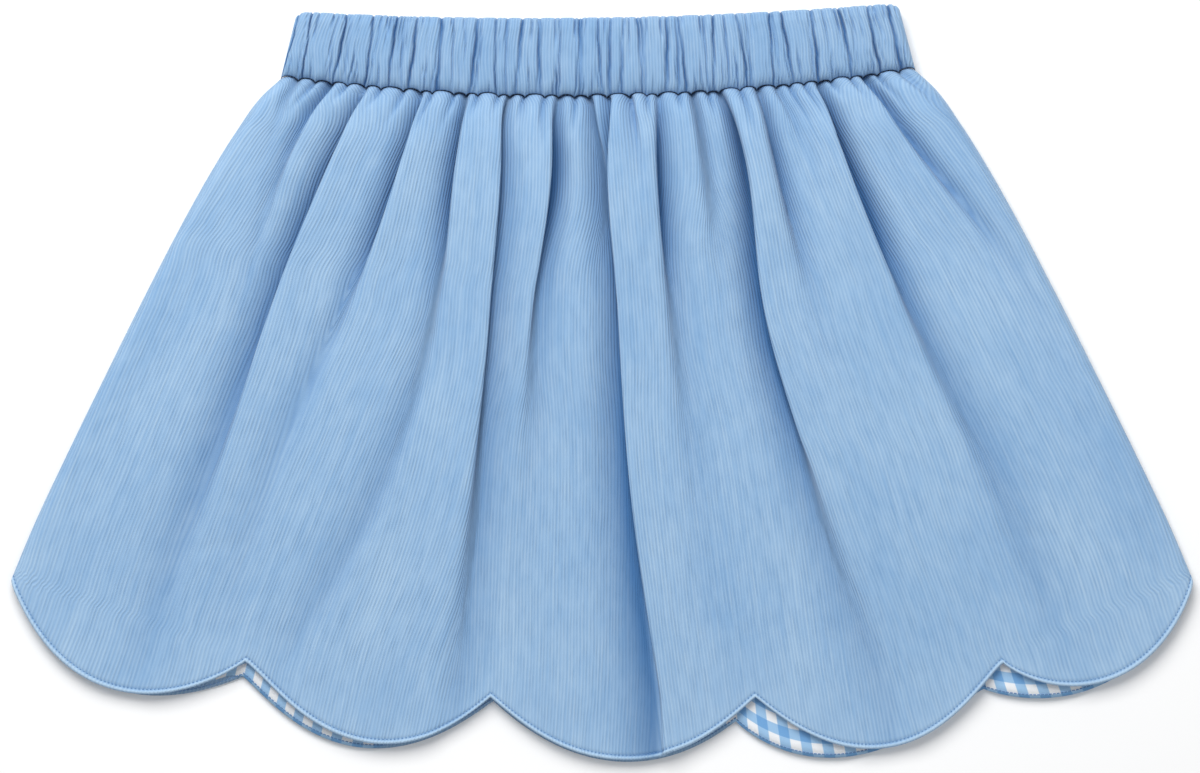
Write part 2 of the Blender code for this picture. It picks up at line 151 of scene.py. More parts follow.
FRONT_HEM = Hem(
    notch_x=(-241.5, -146.0, -45.5, 62.7, 164.0, 241.5),
    notch_y=(-80.6, -114.6, -129.2, -129.2, -115.2, -80.6),
    drop=(28.6, 25.5, 25.7, 27.5, 24.5),
    peak=(1.08, 1.16, 1.0, 0.9, 0.91),
    point=(0.97, 1.02, 1.08, 1.2, 0.97),
)
BACK_HEM = Hem(
    notch_x=(-241.5, -147.0, -44.5, 54.8, 156.4, 241.5),
    notch_y=(-81.4, -121.1, -131.0, -139.3, -126.0, -81.4),
    drop=(25.3, 24.0, 20.6, 20.2, 22.0),
    peak=(1.02, 1.07, 1.0, 0.79, 1.0),
    point=(1.05, 1.07, 1.03, 1.21, 0.95),
)
FOLD_DOWN = (0.0, 0.1, 0.35, 0.65, 1.0)
FOLDS = (
    Fold((0.028, 0.050, 0.058, 0.058, 0.058), (2.4, 1.0, 0.0, 0.0, 0.0), 1, 0.2),
    Fold((0.080, 0.078, 0.092, 0.095, 0.096), (5.6, 3.6, 0.8, 0.0, 0.0), 1, 0.4),
    Fold((0.134, 0.133, 0.125, 0.123, 0.118), (3.0, 7.6, 5.8, 3.6, 1.0), 1, 0.9),
    Fold((0.220, 0.224, 0.210, 0.181, 0.175), (3.6, 9.2, 3.2, 1.6, 0.4), 1, 0.8),
    Fold((0.292, 0.296, 0.309, 0.289, 0.227), (3.6, 7.2, 2.8, 2.2, 1.0), 1, 0.6),
    Fold((0.361, 0.374, 0.383, 0.384, 0.376), (3.2, 6.6, 5.6, 3.6, 1.8), -1, 0.9),
    Fold((0.438, 0.445, 0.434, 0.430, 0.424), (3.2, 7.4, 3.6, 0.9, 0.0), -1, 0.8),
    Fold((0.484, 0.491, 0.493, 0.496, 0.502), (4.4, 4.0, 0.0, 0.0, 0.0), 1, 0.4),
    Fold((0.514, 0.507, 0.512, 0.520, 0.541), (5.0, 7.0, 7.6, 7.6, 6.0), 1, 1.1),
    Fold((0.549, 0.556, 0.560, 0.562, 0.566), (4.4, 1.2, 0.0, 0.0, 0.0), 1, 0.2),
    Fold((0.594, 0.588, 0.586, 0.591, 0.590), (2.8, 7.2, 3.4, 0.8, 0.0), -1, 0.6),
    Fold((0.647, 0.646, 0.641, 0.643, 0.643), (3.8, 3.0, 0.2, 0.0, 0.0), -1, 0.4),
    Fold((0.690, 0.692, 0.679, 0.700, 0.736), (4.2, 9.4, 9.4, 3.8, 1.4), 1, 0.9),
    Fold((0.750, 0.744, 0.745, 0.764, 0.778), (4.0, 5.4, 1.2, 0.0, 0.0), -1, 0.6),
    Fold((0.780, 0.785, 0.800, 0.815, 0.825), (2.6, 0.8, 0.0, 0.0, 0.0), -1, 0.2),
    Fold((0.847, 0.841, 0.849, 0.872, 0.886), (4.4, 10.4, 4.8, 2.4, 0.6), -1, 0.5),
    Fold((0.918, 0.926, 0.966, 0.976, 0.976), (5.6, 5.0, 1.4, 0.0, 0.0), -1, 0.4),
    Fold((0.973, 0.988, 0.990, 0.990, 0.990), (2.2, 0.8, 0.0, 0.0, 0.0), -1, 0.2),
)


def mix(a, b, share):
    """Returns the value that lies `share` of the way from a to b."""
    return a + (b - a) * share


def through(stations: Sequence[float], values: Sequence[float], at) -> Array:
    """Reads a smooth line through the values, one at each station.

    Args:
        stations: places of the values, rising.
        values: the value at each station.
        at: where the line is read.

    Returns:
        The line's value at each place: a cubic whose slope at a station is the mean slope there.
    """
    x, y = np.asarray(stations, float), np.asarray(values, float)
    slope = np.gradient(y, x)
    at = np.clip(at, x[0], x[-1])
    i = np.clip(np.searchsorted(x, at, side="right") - 1, 0, len(x) - 2)
    width = x[i + 1] - x[i]
    t = (at - x[i]) / width
    return (
        (2 * t**3 - 3 * t**2 + 1) * y[i]
        + (t**3 - 2 * t**2 + t) * width * slope[i]
        + (3 * t**2 - 2 * t**3) * y[i + 1]
        + (t**3 - t**2) * width * slope[i + 1]
    )


def rounded(distance, radius: float):
    """Returns a quarter round: 0 at the edge, rising to 1 one radius inside it."""
    t = 1 - np.clip(distance, 0, radius) / radius
    return np.sqrt(1 - t * t)


def bell(distance, width):
    """Returns a bell curve: 1 at no distance, 1/e at one width."""
    return np.exp(-((distance / width) ** 2))


def hollow(gap, width):
    """Returns the section of a valley: 1 at its line, falling as (1 + (gap / width)^2)^-1.5."""
    return (1 + (gap / width) ** 2) ** -1.5


def waist_y(x):
    """Returns the height up the picture of the waist seam at x."""
    return WAIST_CENTRE_Y + WAIST_TILT * x + WAIST_CURVE * x * x


def band_top_y(x):
    """Returns the height up the picture of the waistband's top edge at x."""
    return BAND_TOP_CENTRE_Y + WAIST_TILT * x + BAND_TOP_CURVE * x * x


def fan(hem: Hem, across, down) -> tuple[Array, Array]:
    """Finds the flat place of points of a panel, which fans out from the waist to the hem.

    Args:
        hem: the panel's hem.
        across: shares across, from the left side seam.
        down: shares of the way from the waist seam to the notches.

    Returns:
        x and y of each point.
    """
    top_x = mix(WAIST_LEFT, WAIST_RIGHT, across)
    low_x = mix(HEM_LEFT, HEM_RIGHT, across)
    low_y = np.interp(low_x, hem.notch_x, hem.notch_y)
    swell = through(SWELL_DOWN, SIDE_SWELL, down)
    x = mix(top_x, low_x, down) + mix(-swell, swell, across)
    y = mix(waist_y(top_x) - APART / 2, low_y, down)
    return x, y


def row_width(down):
    """Returns how wide the front is, so far down it."""
    left, _ = fan(FRONT_HEM, np.float64(0), down)
    right, _ = fan(FRONT_HEM, np.float64(1), down)
    return right - left


class FrontRelief:
    """Heights of the front's cloth: ridges, less the valley of each fold and pucker."""

    creases: tuple[Crease, ...] = (
        Crease((0.05, 0.30), (0.03, 0.86), 0.5, 9.0),
        Crease((0.20, 0.42), (0.21, 0.92), 0.5, 8.0),
        Crease((0.33, 0.35), (0.31, 0.95), 0.4, 8.0),
        Crease((0.47, 0.30), (0.47, 0.98), 0.5, 7.0),
        Crease((0.62, 0.25), (0.63, 0.98), 0.6, 9.0),
        Crease((0.78, 0.28), (0.80, 0.97), 0.5, 9.0),
        Crease((0.94, 0.25), (0.955, 0.9), 0.6, 9.0),
        Crease((0.12, 0.86), (0.18, 0.80), 0.25, 5.0),
        Crease((0.86, 0.80), (0.92, 0.84), 0.25, 5.0),
    )

    uneven = 0.22
    arch_share, arch_range, arch_base = 0.24, (0.4, 1.7), 0.7
    floor_blend = 0.25

    def __init__(self) -> None:
        """Sets the places of the puckers, evenly uneven between one fold and the next."""
        ends = [0.0] + [fold.line[0] for fold in FOLDS] + [1.0]
        width = WAIST_RIGHT - WAIST_LEFT
        self.puckers: list[float] = []
        for left, right in zip(ends, ends[1:]):
            count = round((right - left) * width / PUCKER_PITCH)
            shares = [
                (k + self.uneven * math.sin(2.7 * k + 9 * left)) / count for k in range(1, count)
            ]
            self.puckers += [mix(left, right, share) for share in shares]

    def reach(self, k: int) -> float:
        """Returns how far down the k-th pucker reaches, in mm."""
        return mix(*PUCKER_REACH, 0.5 + 0.5 * math.sin(5.1 * k))

    def seam_wave(self, across) -> Array:
        """Returns how far the waist seam arches up over each small gore, in mm."""
        lines = np.sort([0.0] + self.puckers + [fold.line[0] for fold in FOLDS] + [1.0])
        i = np.clip(np.searchsorted(lines, across, side="right") - 1, 0, len(lines) - 2)
        span = (lines[i + 1] - lines[i]) * (WAIST_RIGHT - WAIST_LEFT)
        t = (across - lines[i]) / (lines[i + 1] - lines[i])
        arch = np.sqrt(np.clip(4 * t * (1 - t), 0, 1))
        return np.clip(self.arch_share * span, *self.arch_range) * arch - self.arch_base

    def height(self, across, down) -> Array:
        """Finds the height of the outer face.

        Each valley is `depth / (1 + (gap / width)^2)^1.5`, narrow on the side whose ridge lies
        over it and broad on the other. The total is kept above the valley floor and turns down
        in a quarter round at the side seams.

        Args:
            across: shares across, from the left side seam.
            down: shares of the way down.

        Returns:
            The height of each point above the surface that the skirt lies on.
        """
        width = row_width(down)
        z = through(CREST_DOWN, CREST_Z, down)
        crisp = mix(*CRISP_WIDTH, np.clip(down, 0, 1))
        soft = mix(*SOFT_WIDTH, np.clip(down, 0, 1))
        for fold in FOLDS:
            gap = fold.over * (across - through(FOLD_DOWN, fold.line, down)) * width
            depth = through(FOLD_DOWN, fold.depth, down)
            edge = mix(ROUND_EDGE * soft, crisp, np.clip(depth / CRISP_DEPTH, 0, 1))
            side = np.where(gap > 0, edge, soft)
            valley = depth * hollow(gap, side)
            raised = RAISED_EDGE * depth * bell(gap - RAISED_SPREAD / 2, RAISED_SPREAD)
            z = z + np.where(gap > 0, raised, 0) * (1 - bell(gap, edge)) - valley
        below = down * (WAIST_CENTRE_Y - FRONT_HEM.notch_y[2])
        for k, line in enumerate(self.puckers):
            gap = (across - line) * width
            depth = PUCKER_DEPTH * bell(below, self.reach(k))
            z = z - depth * hollow(gap, PUCKER_WIDTH)
        z = z - self.soft_creases(across, down, width)
        above = z - VALLEY_Z
        z = VALLEY_Z + 0.5 * (above + np.sqrt(above * above + self.floor_blend))
        edge = FRONT_UNDER_Z + 1.0
        inside = np.minimum(across, 1 - across) * width
        return edge + (z - edge) * rounded(inside, SIDE_ROLL)

    def soft_creases(self, across, down, width) -> Array:
        """Returns the depth of the broad creases listed, each fading out at both ends."""
        total = 0.0
        for crease in self.creases:
            (a0, d0), (a1, d1) = crease.start, crease.end
            t = np.clip((down - d0) / (d1 - d0), 0, 1)
            gap = (across - mix(a0, a1, t)) * width
            ends = np.sin(math.pi * t) ** 0.7
            total = total + crease.depth * ends * bell(gap, crease.width)
        return total

    def lean(self, across, down) -> Array:
        """Finds the sideways lean of the folds.

        The ridges stay where they are, and the valleys slide under them.

        Args:
            across: shares across, from the left side seam.
            down: shares of the way down.

        Returns:
            Millimetres of lean for each millimetre above the ridges, at each point.
        """
        width = row_width(down)
        total = 0.0
        for fold in FOLDS:
            gap = (across - through(FOLD_DOWN, fold.line, down)) * width
            strength = fold.lean * np.clip(through(FOLD_DOWN, fold.depth, down) / 5, 0, 1)
            total = total - fold.over * strength * bell(gap, LEAN_SPREAD)
        from_side = np.minimum(across, 1 - across) * width
        near_waist = down / (down + WAIST_STIFF)
        return np.clip(total, -MOST_LEAN, MOST_LEAN) * rounded(from_side, LEAN_SPREAD) * near_waist

    def shifted(self, across, down, x, z) -> Array:
        """Returns x with the lean of the folds."""
        return x + self.lean(across, down) * (z - through(CREST_DOWN, CREST_Z, down))


class Panel:
    """A panel's columns, spaced evenly over its cloth with each notch on one, and its rows."""

    def __init__(self, hem: Hem, height: Height) -> None:
        """Measures the cloth along many rows.

        Args:
            hem: the panel's hem.
            height: gives the cloth's height at (across, down).
        """
        self.hem, self.height = hem, height
        self.downs = np.linspace(0, 1.25, 90)
        self.across = np.linspace(0, 1, 1601)
        self.cloth = np.array([self._lengths(down) for down in self.downs])
        notch = (np.array(hem.notch_x) - HEM_LEFT) / (HEM_RIGHT - HEM_LEFT)
        self.at_notch = int(np.argmin(abs(self.downs - 1)))
        self.notch = np.interp(notch, self.across, self.cloth[self.at_notch])

    def _lengths(self, down: float) -> Array:
        """Returns the share of the cloth's length up to each place of one row."""
        x, y = fan(self.hem, self.across, down)
        z = self.height(self.across, np.full_like(self.across, down))
        steps = np.sqrt(np.diff(x) ** 2 + np.diff(y) ** 2 + np.diff(z) ** 2)
        along = np.concatenate([[0], np.cumsum(steps)])
        return along / along[-1]

    def columns(self, points: Sequence[int]) -> Array:
        """Returns the columns' shares of the cloth, with so many columns to each scallop."""
        starts = zip(self.notch, self.notch[1:], points)
        parts = [np.linspace(a, b, n, endpoint=False) for a, b, n in starts]
        return np.concatenate(parts + [[1.0]])

    def at_hem(self, cloth: Array) -> Array:
        """Returns each column's share across, level with the notches."""
        return np.interp(cloth, self.cloth[self.at_notch], self.across)

    def scallop(self, cloth: Array) -> tuple[Array, Array]:
        """Returns each column's bulge as a share of the way down, and the way down in mm."""
        i = np.clip(np.searchsorted(self.notch, cloth, side="right") - 1, 0, 4)
        t = np.clip((cloth - self.notch[i]) / (self.notch[i + 1] - self.notch[i]), 0, 1)
        t = t ** np.array(self.hem.peak)[i]
        arch = np.clip(4 * t * (1 - t), 0, 1) ** np.array(self.hem.point)[i]
        bulge = np.array(self.hem.drop)[i] * arch
        run, rise = np.diff(self.hem.notch_x)[i], np.diff(self.hem.notch_y)[i]
        across = self.at_hem(cloth)
        length = fan(self.hem, across, 0.0)[1] - fan(self.hem, across, 1.0)[1]
        return bulge * run / np.hypot(run, rise) / length, length

    def places(self, cloth: Array, rows: Array, inset: float = 0.0) -> tuple[Array, Array]:
        """Finds (across, down) for rows by columns.

        Args:
            cloth: each column's share of the cloth.
            rows: (rows, 2): each row's share of the way to the hem's edge, and how many
                millimetres short of that place it stops.
            inset: millimetres that the rows stop short of each side seam. Places near the middle
                stay, because the shift goes with a high power of the distance from it.

        Returns:
            across and down, both rows by columns.
        """
        bulge, length = self.scallop(cloth)
        down = rows[:, :1] * (1 + bulge) - rows[:, 1:] / length
        spots = np.array([np.interp(cloth, line, self.across) for line in self.cloth])
        step = self.downs[1]
        k = np.clip((down / step).astype(int), 0, len(self.downs) - 2)
        column = np.arange(len(cloth))[None, :]
        across = mix(spots[k, column], spots[k + 1, column], down / step - k)
        from_middle = 2 * across - 1
        shift = inset / row_width(down) * np.sign(from_middle) * np.abs(from_middle) ** INSET_POWER
        return across - shift, down


class RibMap:
    """Where the ribs of the corduroy run on the front: they follow each gore and sink in its folds.

    The cloth is as wide at the waist as at the hem. What the narrower rows have no room for is
    hidden in the folds, so the ribs keep their spacing and run along each gore between two folds.
    """

    sharp, blunt, full_depth = 1.2, 6.0, 2.5
    keep_shallow, keep_deep = 3.0, 0.05
    smoothing: tuple[int, ...] = (1, 3, 6, 9, 11, 12, 11, 9, 6, 3, 1)

    def __init__(self, panel: Panel, relief: FrontRelief) -> None:
        """Works out the table of places on the cloth, one row for each of the panel's rows.

        Args:
            panel: the front's panel.
            relief: the front's heights.
        """
        downs, across = panel.downs, panel.across
        self.step = downs[1]
        rows = [self._shown(panel, relief, down) for down in downs]
        hem = rows[panel.at_notch]
        goal = np.interp(self._centres(1.0), across, hem)
        hidden = np.array([self._hidden(across, row, down, goal) for down, row in zip(downs, rows)])
        reach = len(self.smoothing) // 2
        padded = np.pad(hidden, ((reach, reach), (0, 0)), mode="edge")
        weights = np.array(self.smoothing) / sum(self.smoothing)
        hidden = np.stack([np.convolve(column, weights, "valid") for column in padded.T], axis=-1)
        self.table = np.array(
            [row + self._steps(across, row, down, row) @ lengths[:-1] + lengths[-1]
             for row, down, lengths in zip(rows, downs, hidden)]
        )

    def _centres(self, down: float) -> Array:
        """Returns the share across of the middle of each gore."""
        lines = [float(through(FOLD_DOWN, fold.line, down)) for fold in FOLDS]
        return np.array([0.02] + [(a + b) / 2 for a, b in zip(lines, lines[1:])] + [0.985])

    def _shown(self, panel: Panel, relief: FrontRelief, down: float) -> Array:
        """Returns the length of cloth that shows along a row, from the middle, square to the ribs."""
        across = panel.across
        level = np.full_like(across, down)
        x, y = fan(panel.hem, across, down)
        below, low_y = fan(panel.hem, across, down + 0.02)
        slant = np.cos(np.arctan2(below - x, y - low_y))
        z = relief.height(across, level)
        x = relief.shifted(across, level, x, z)
        steps = np.hypot(np.diff(x), np.diff(z)) * (slant[1:] + slant[:-1]) / 2
        along = np.concatenate([[0], np.cumsum(steps)])
        middle = len(across) // 2
        return along - along[middle] + x[middle]

    def _steps(self, across: Array, shown: Array, down: float, at) -> Array:
        """Returns a smooth step at each fold, read at some places: sharp where the fold is deep."""
        lines = np.array([float(through(FOLD_DOWN, fold.line, down)) for fold in FOLDS])
        widths = mix(self.blunt, self.sharp, self._deep(down))
        gaps = np.asarray(at)[:, None] - np.interp(lines, across, shown)
        return 0.5 * (1 + np.tanh(gaps / widths))

    def _deep(self, down: float) -> Array:
        """Returns how deep each fold is on this row, 0 to 1."""
        depths = [float(through(FOLD_DOWN, fold.depth, down)) for fold in FOLDS]
        return np.clip(np.array(depths) / self.full_depth, 0, 1)

    def _hidden(self, across: Array, shown: Array, down: float, goal: Array) -> Array:
        """Finds the length that each fold hides, so that the ribs in the middle of each gore stay.

        The lengths solve a least-squares problem that keeps shallow folds near nothing.

        Args:
            across: the row's shares across.
            shown: the length of cloth that shows up to each of them.
            down: the row's share of the way down.
            goal: the place on the cloth of the middle of each gore.

        Returns:
            The hidden length of each fold, and last a shift of the whole row, in mm.
        """
        centres = np.interp(self._centres(down), across, shown)
        system = np.hstack([self._steps(across, shown, down, centres), np.ones((len(centres), 1))])
        count = len(FOLDS)
        weight = mix(self.keep_shallow, self.keep_deep, self._deep(down))
        keep = np.hstack([np.diag(weight), np.zeros((count, 1))])
        values = np.concatenate([goal - centres, np.zeros(count)])
        return np.linalg.lstsq(np.vstack([system, keep]), values, rcond=None)[0]

    def read(self, across: Array, down: Array) -> Array:
        """Returns the cloth's place across, in mm from the middle, at each point."""
        k = np.clip((down / self.step).astype(int), 0, len(self.table) - 2)
        spot = np.clip(across, 0, 1) * (self.table.shape[1] - 1)
        j = np.clip(spot.astype(int), 0, self.table.shape[1] - 2)
        s, t = spot - j, down / self.step - k
        low = mix(self.table[k, j], self.table[k, j + 1], s)
        high = mix(self.table[k + 1, j], self.table[k + 1, j + 1], s)
        return mix(low, high, t)


@dataclass
class Patch:
    """A grid of points in mm, with each point's place on the cloth and the shade painted on it, light
    where below 0.
    """

    points: Array
    cloth: Array
    painted_shading: Array

    def mesh(self, name: str, material: bpy.types.Material, closed: bool = False) -> bpy.types.Object:
        """Makes the object.

        Args:
            name: the object's name.
            material: its material.
            closed: whether the last row joins the first, and points that coincide are welded.

        Returns:
            The object, its place in its vertices, with a UV map in metres of cloth.
        """
        rows, cols = self.points.shape[:2]
        index = np.arange(rows * cols).reshape(rows, cols)
        if closed:
            index = np.vstack([index, index[:1]])
        quads = np.stack([index[:-1, :-1], index[1:, :-1], index[1:, 1:], index[:-1, 1:]], axis=-1)
        quads = quads.reshape(-1, 4)
        mesh = bpy.data.meshes.new(name)
        mesh.vertices.add(rows * cols)
        mesh.vertices.foreach_set("co", (self.points * MM).astype(np.float32).ravel())
        mesh.loops.add(quads.size)
        mesh.loops.foreach_set("vertex_index", quads.astype(np.int32).ravel())
        mesh.polygons.add(len(quads))
        mesh.polygons.foreach_set("loop_start", np.arange(0, quads.size, 4, dtype=np.int32))
        mesh.update()
        layer = mesh.uv_layers.new(name="cloth")
        places = (self.cloth.reshape(-1, 2) * MM)[quads.ravel()]
        layer.data.foreach_set("uv", places.astype(np.float32).ravel())
        # The shade painted on the cloth, and the light painted on it where below 0, kept as a point
        # attribute.
        depth = mesh.attributes.new("painted_shading", "FLOAT", "POINT")
        depth.data.foreach_set("value", self.painted_shading.astype(np.float32).ravel())
        if closed:
            work = bmesh.new()
            work.from_mesh(mesh)
            bmesh.ops.remove_doubles(work, verts=work.verts, dist=1e-6)
            work.to_mesh(mesh)
            work.free()
        mesh.validate()
        mesh.shade_smooth()
        mesh.materials.append(material)
        obj = bpy.data.objects.new(name, mesh)
        bpy.context.scene.collection.objects.link(obj)
        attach(obj, "root")
        return obj


class Socket(Enum):
    """Kinds of socket that the shared node groups use."""

    VALUE = "NodeSocketFloat"
    VECTOR = "NodeSocketVector"


class Graph:
    """Short ways to add and join nodes in a tree. A value is a constant or another node's output."""

    def __init__(self, tree: bpy.types.NodeTree) -> None:
        """Keeps the tree that the nodes go into."""
        self.tree = tree

    def node(self, kind: str, **settings) -> bpy.types.Node:
        """Adds a node of a kind, sets its properties and returns it."""
        made = self.tree.nodes.new(kind)
        for key, value in settings.items():
            setattr(made, key, value)
        return made

    def put(self, socket: bpy.types.NodeSocket, value) -> None:
        """Joins an output to the socket, or sets its constant."""
        if isinstance(value, bpy.types.NodeSocket):
            self.tree.links.new(value, socket)
        else:
            socket.default_value = value

    def math(self, operation: str, *values) -> bpy.types.NodeSocket:
        """Adds a Math node of one to three values and returns its output."""
        made = self.node("ShaderNodeMath", operation=operation)
        for socket, value in zip(made.inputs, values):
            self.put(socket, value)
        return made.outputs[0]

    def noise(self, vector, scale: float, detail: float = 2.0) -> bpy.types.NodeSocket:
        """Adds a noise texture and returns its output, 0 to 1."""
        made = self.node("ShaderNodeTexNoise")
        self.put(made.inputs["Vector"], vector)
        made.inputs["Scale"].default_value = scale
        made.inputs["Detail"].default_value = detail
        return made.outputs[0]

    def stretched(self, vector, scale: tuple[float, float, float]) -> bpy.types.NodeSocket:
        """Scales a vector by axis and returns the product."""
        made = self.node("ShaderNodeVectorMath", operation="MULTIPLY")
        self.put(made.inputs[0], vector)
        made.inputs[1].default_value = scale
        return made.outputs[0]

    def blend(self, share, a, b) -> bpy.types.NodeSocket:
        """Returns the colour that lies `share` of the way from a to b."""
        made = self.node("ShaderNodeMix", data_type="RGBA")
        self.put(made.inputs[0], share)
        self.put(made.inputs[6], a)
        self.put(made.inputs[7], b)
        return made.outputs[2]

    def ranged(self, value, *limits: float) -> bpy.types.NodeSocket:
        """Maps a value from one range to another, clamped.

        Args:
            value: the value to map.
            limits: low and high of the range it comes from, then of the one it goes to.

        Returns:
            The mapped value.
        """
        made = self.node("ShaderNodeMapRange")
        self.put(made.inputs["Value"], value)
        for key, number in zip(("From Min", "From Max", "To Min", "To Max"), limits):
            made.inputs[key].default_value = number
        return made.outputs[0]


def group(name: str, inputs: dict[str, Socket], outputs: dict[str, Socket]):
    """Starts a shader node group.

    Args:
        name: the group's name.
        inputs: the kind of each input socket, by name.
        outputs: the kind of each output socket, by name.

    Returns:
        The group's tree, a Graph on it, and its input and output nodes.
    """
    tree = bpy.data.node_groups.new(name, "ShaderNodeTree")
    for key, kind in inputs.items():
        tree.interface.new_socket(key, in_out="INPUT", socket_type=kind.value)
    for key, kind in outputs.items():
        tree.interface.new_socket(key, in_out="OUTPUT", socket_type=kind.value)
    graph = Graph(tree)
    return tree, graph, graph.node("NodeGroupInput"), graph.node("NodeGroupOutput")


@dataclass(frozen=True)
class CorduroyFinish:
    """Needlecord's colours and sizes, in linear colour and metres."""

    base: tuple[float, float, float, float] = (0.243, 0.407, 0.621, 1.0)
    # The next colour is painted shade in the grooves between the ribs.
    groove_shade: tuple[float, float, float, float] = (0.150, 0.290, 0.520, 1.0)
    rubbed: tuple[float, float, float, float] = (0.400, 0.555, 0.715, 1.0)
    # The next colour is painted shade: what the cloth darkens to in folds, puckers, seams and along
    # stitching.
    crease: tuple[float, float, float, float] = (0.030, 0.122, 0.310, 1.0)
    # The next colour is painted light: a highlight on the hem's rounded edge, and lighter cloth near the
    # hem where it faces away from the lamp.
    painted_light: tuple[float, float, float, float] = (0.480, 0.640, 0.800, 1.0)
    rib_pitch: float = 0.00135
    rib_relief: float = 0.00035
    rib_strength: float = 0.75
    groove_shade_share: float = 0.55
    rubbed_share: float = 0.7
    crease_shade_share: float = 0.9
    painted_light_share: float = 0.8
    roughness: float = 0.92
    specular: float = 0.15
    sheen: float = 0.25
    sheen_roughness: float = 0.45
    sheen_tint: tuple[float, float, float, float] = (0.75, 0.86, 1.0, 1.0)


@dataclass(frozen=True)
class GinghamFinish:
    """The checked lining's colours and sizes, in linear colour and metres."""

    white: tuple[float, float, float, float] = (0.93, 0.94, 0.95, 1.0)
    single: tuple[float, float, float, float] = (0.36, 0.58, 0.83, 1.0)
    double: tuple[float, float, float, float] = (0.18, 0.40, 0.72, 1.0)
    repeat: float = 0.0089
    thread: float = 0.00035
    grain: tuple[float, float, float, float] = (0.15, 0.3, 0.5, 1.0)
    grain_share: float = 0.14
    grain_relief: float = 0.0001
    roughness: float = 0.85
    specular: float = 0.2


@dataclass(frozen=True)
class ThreadFinish:
    """The sewing thread's colours and sizes, in linear colour and metres."""

    dark: tuple[float, float, float, float] = (0.07, 0.17, 0.36, 1.0)
    light: tuple[float, float, float, float] = (0.17, 0.31, 0.55, 1.0)
    ply_scale: float = 4000.0
    ply_relief: float = 0.0001
    roughness: float = 0.6


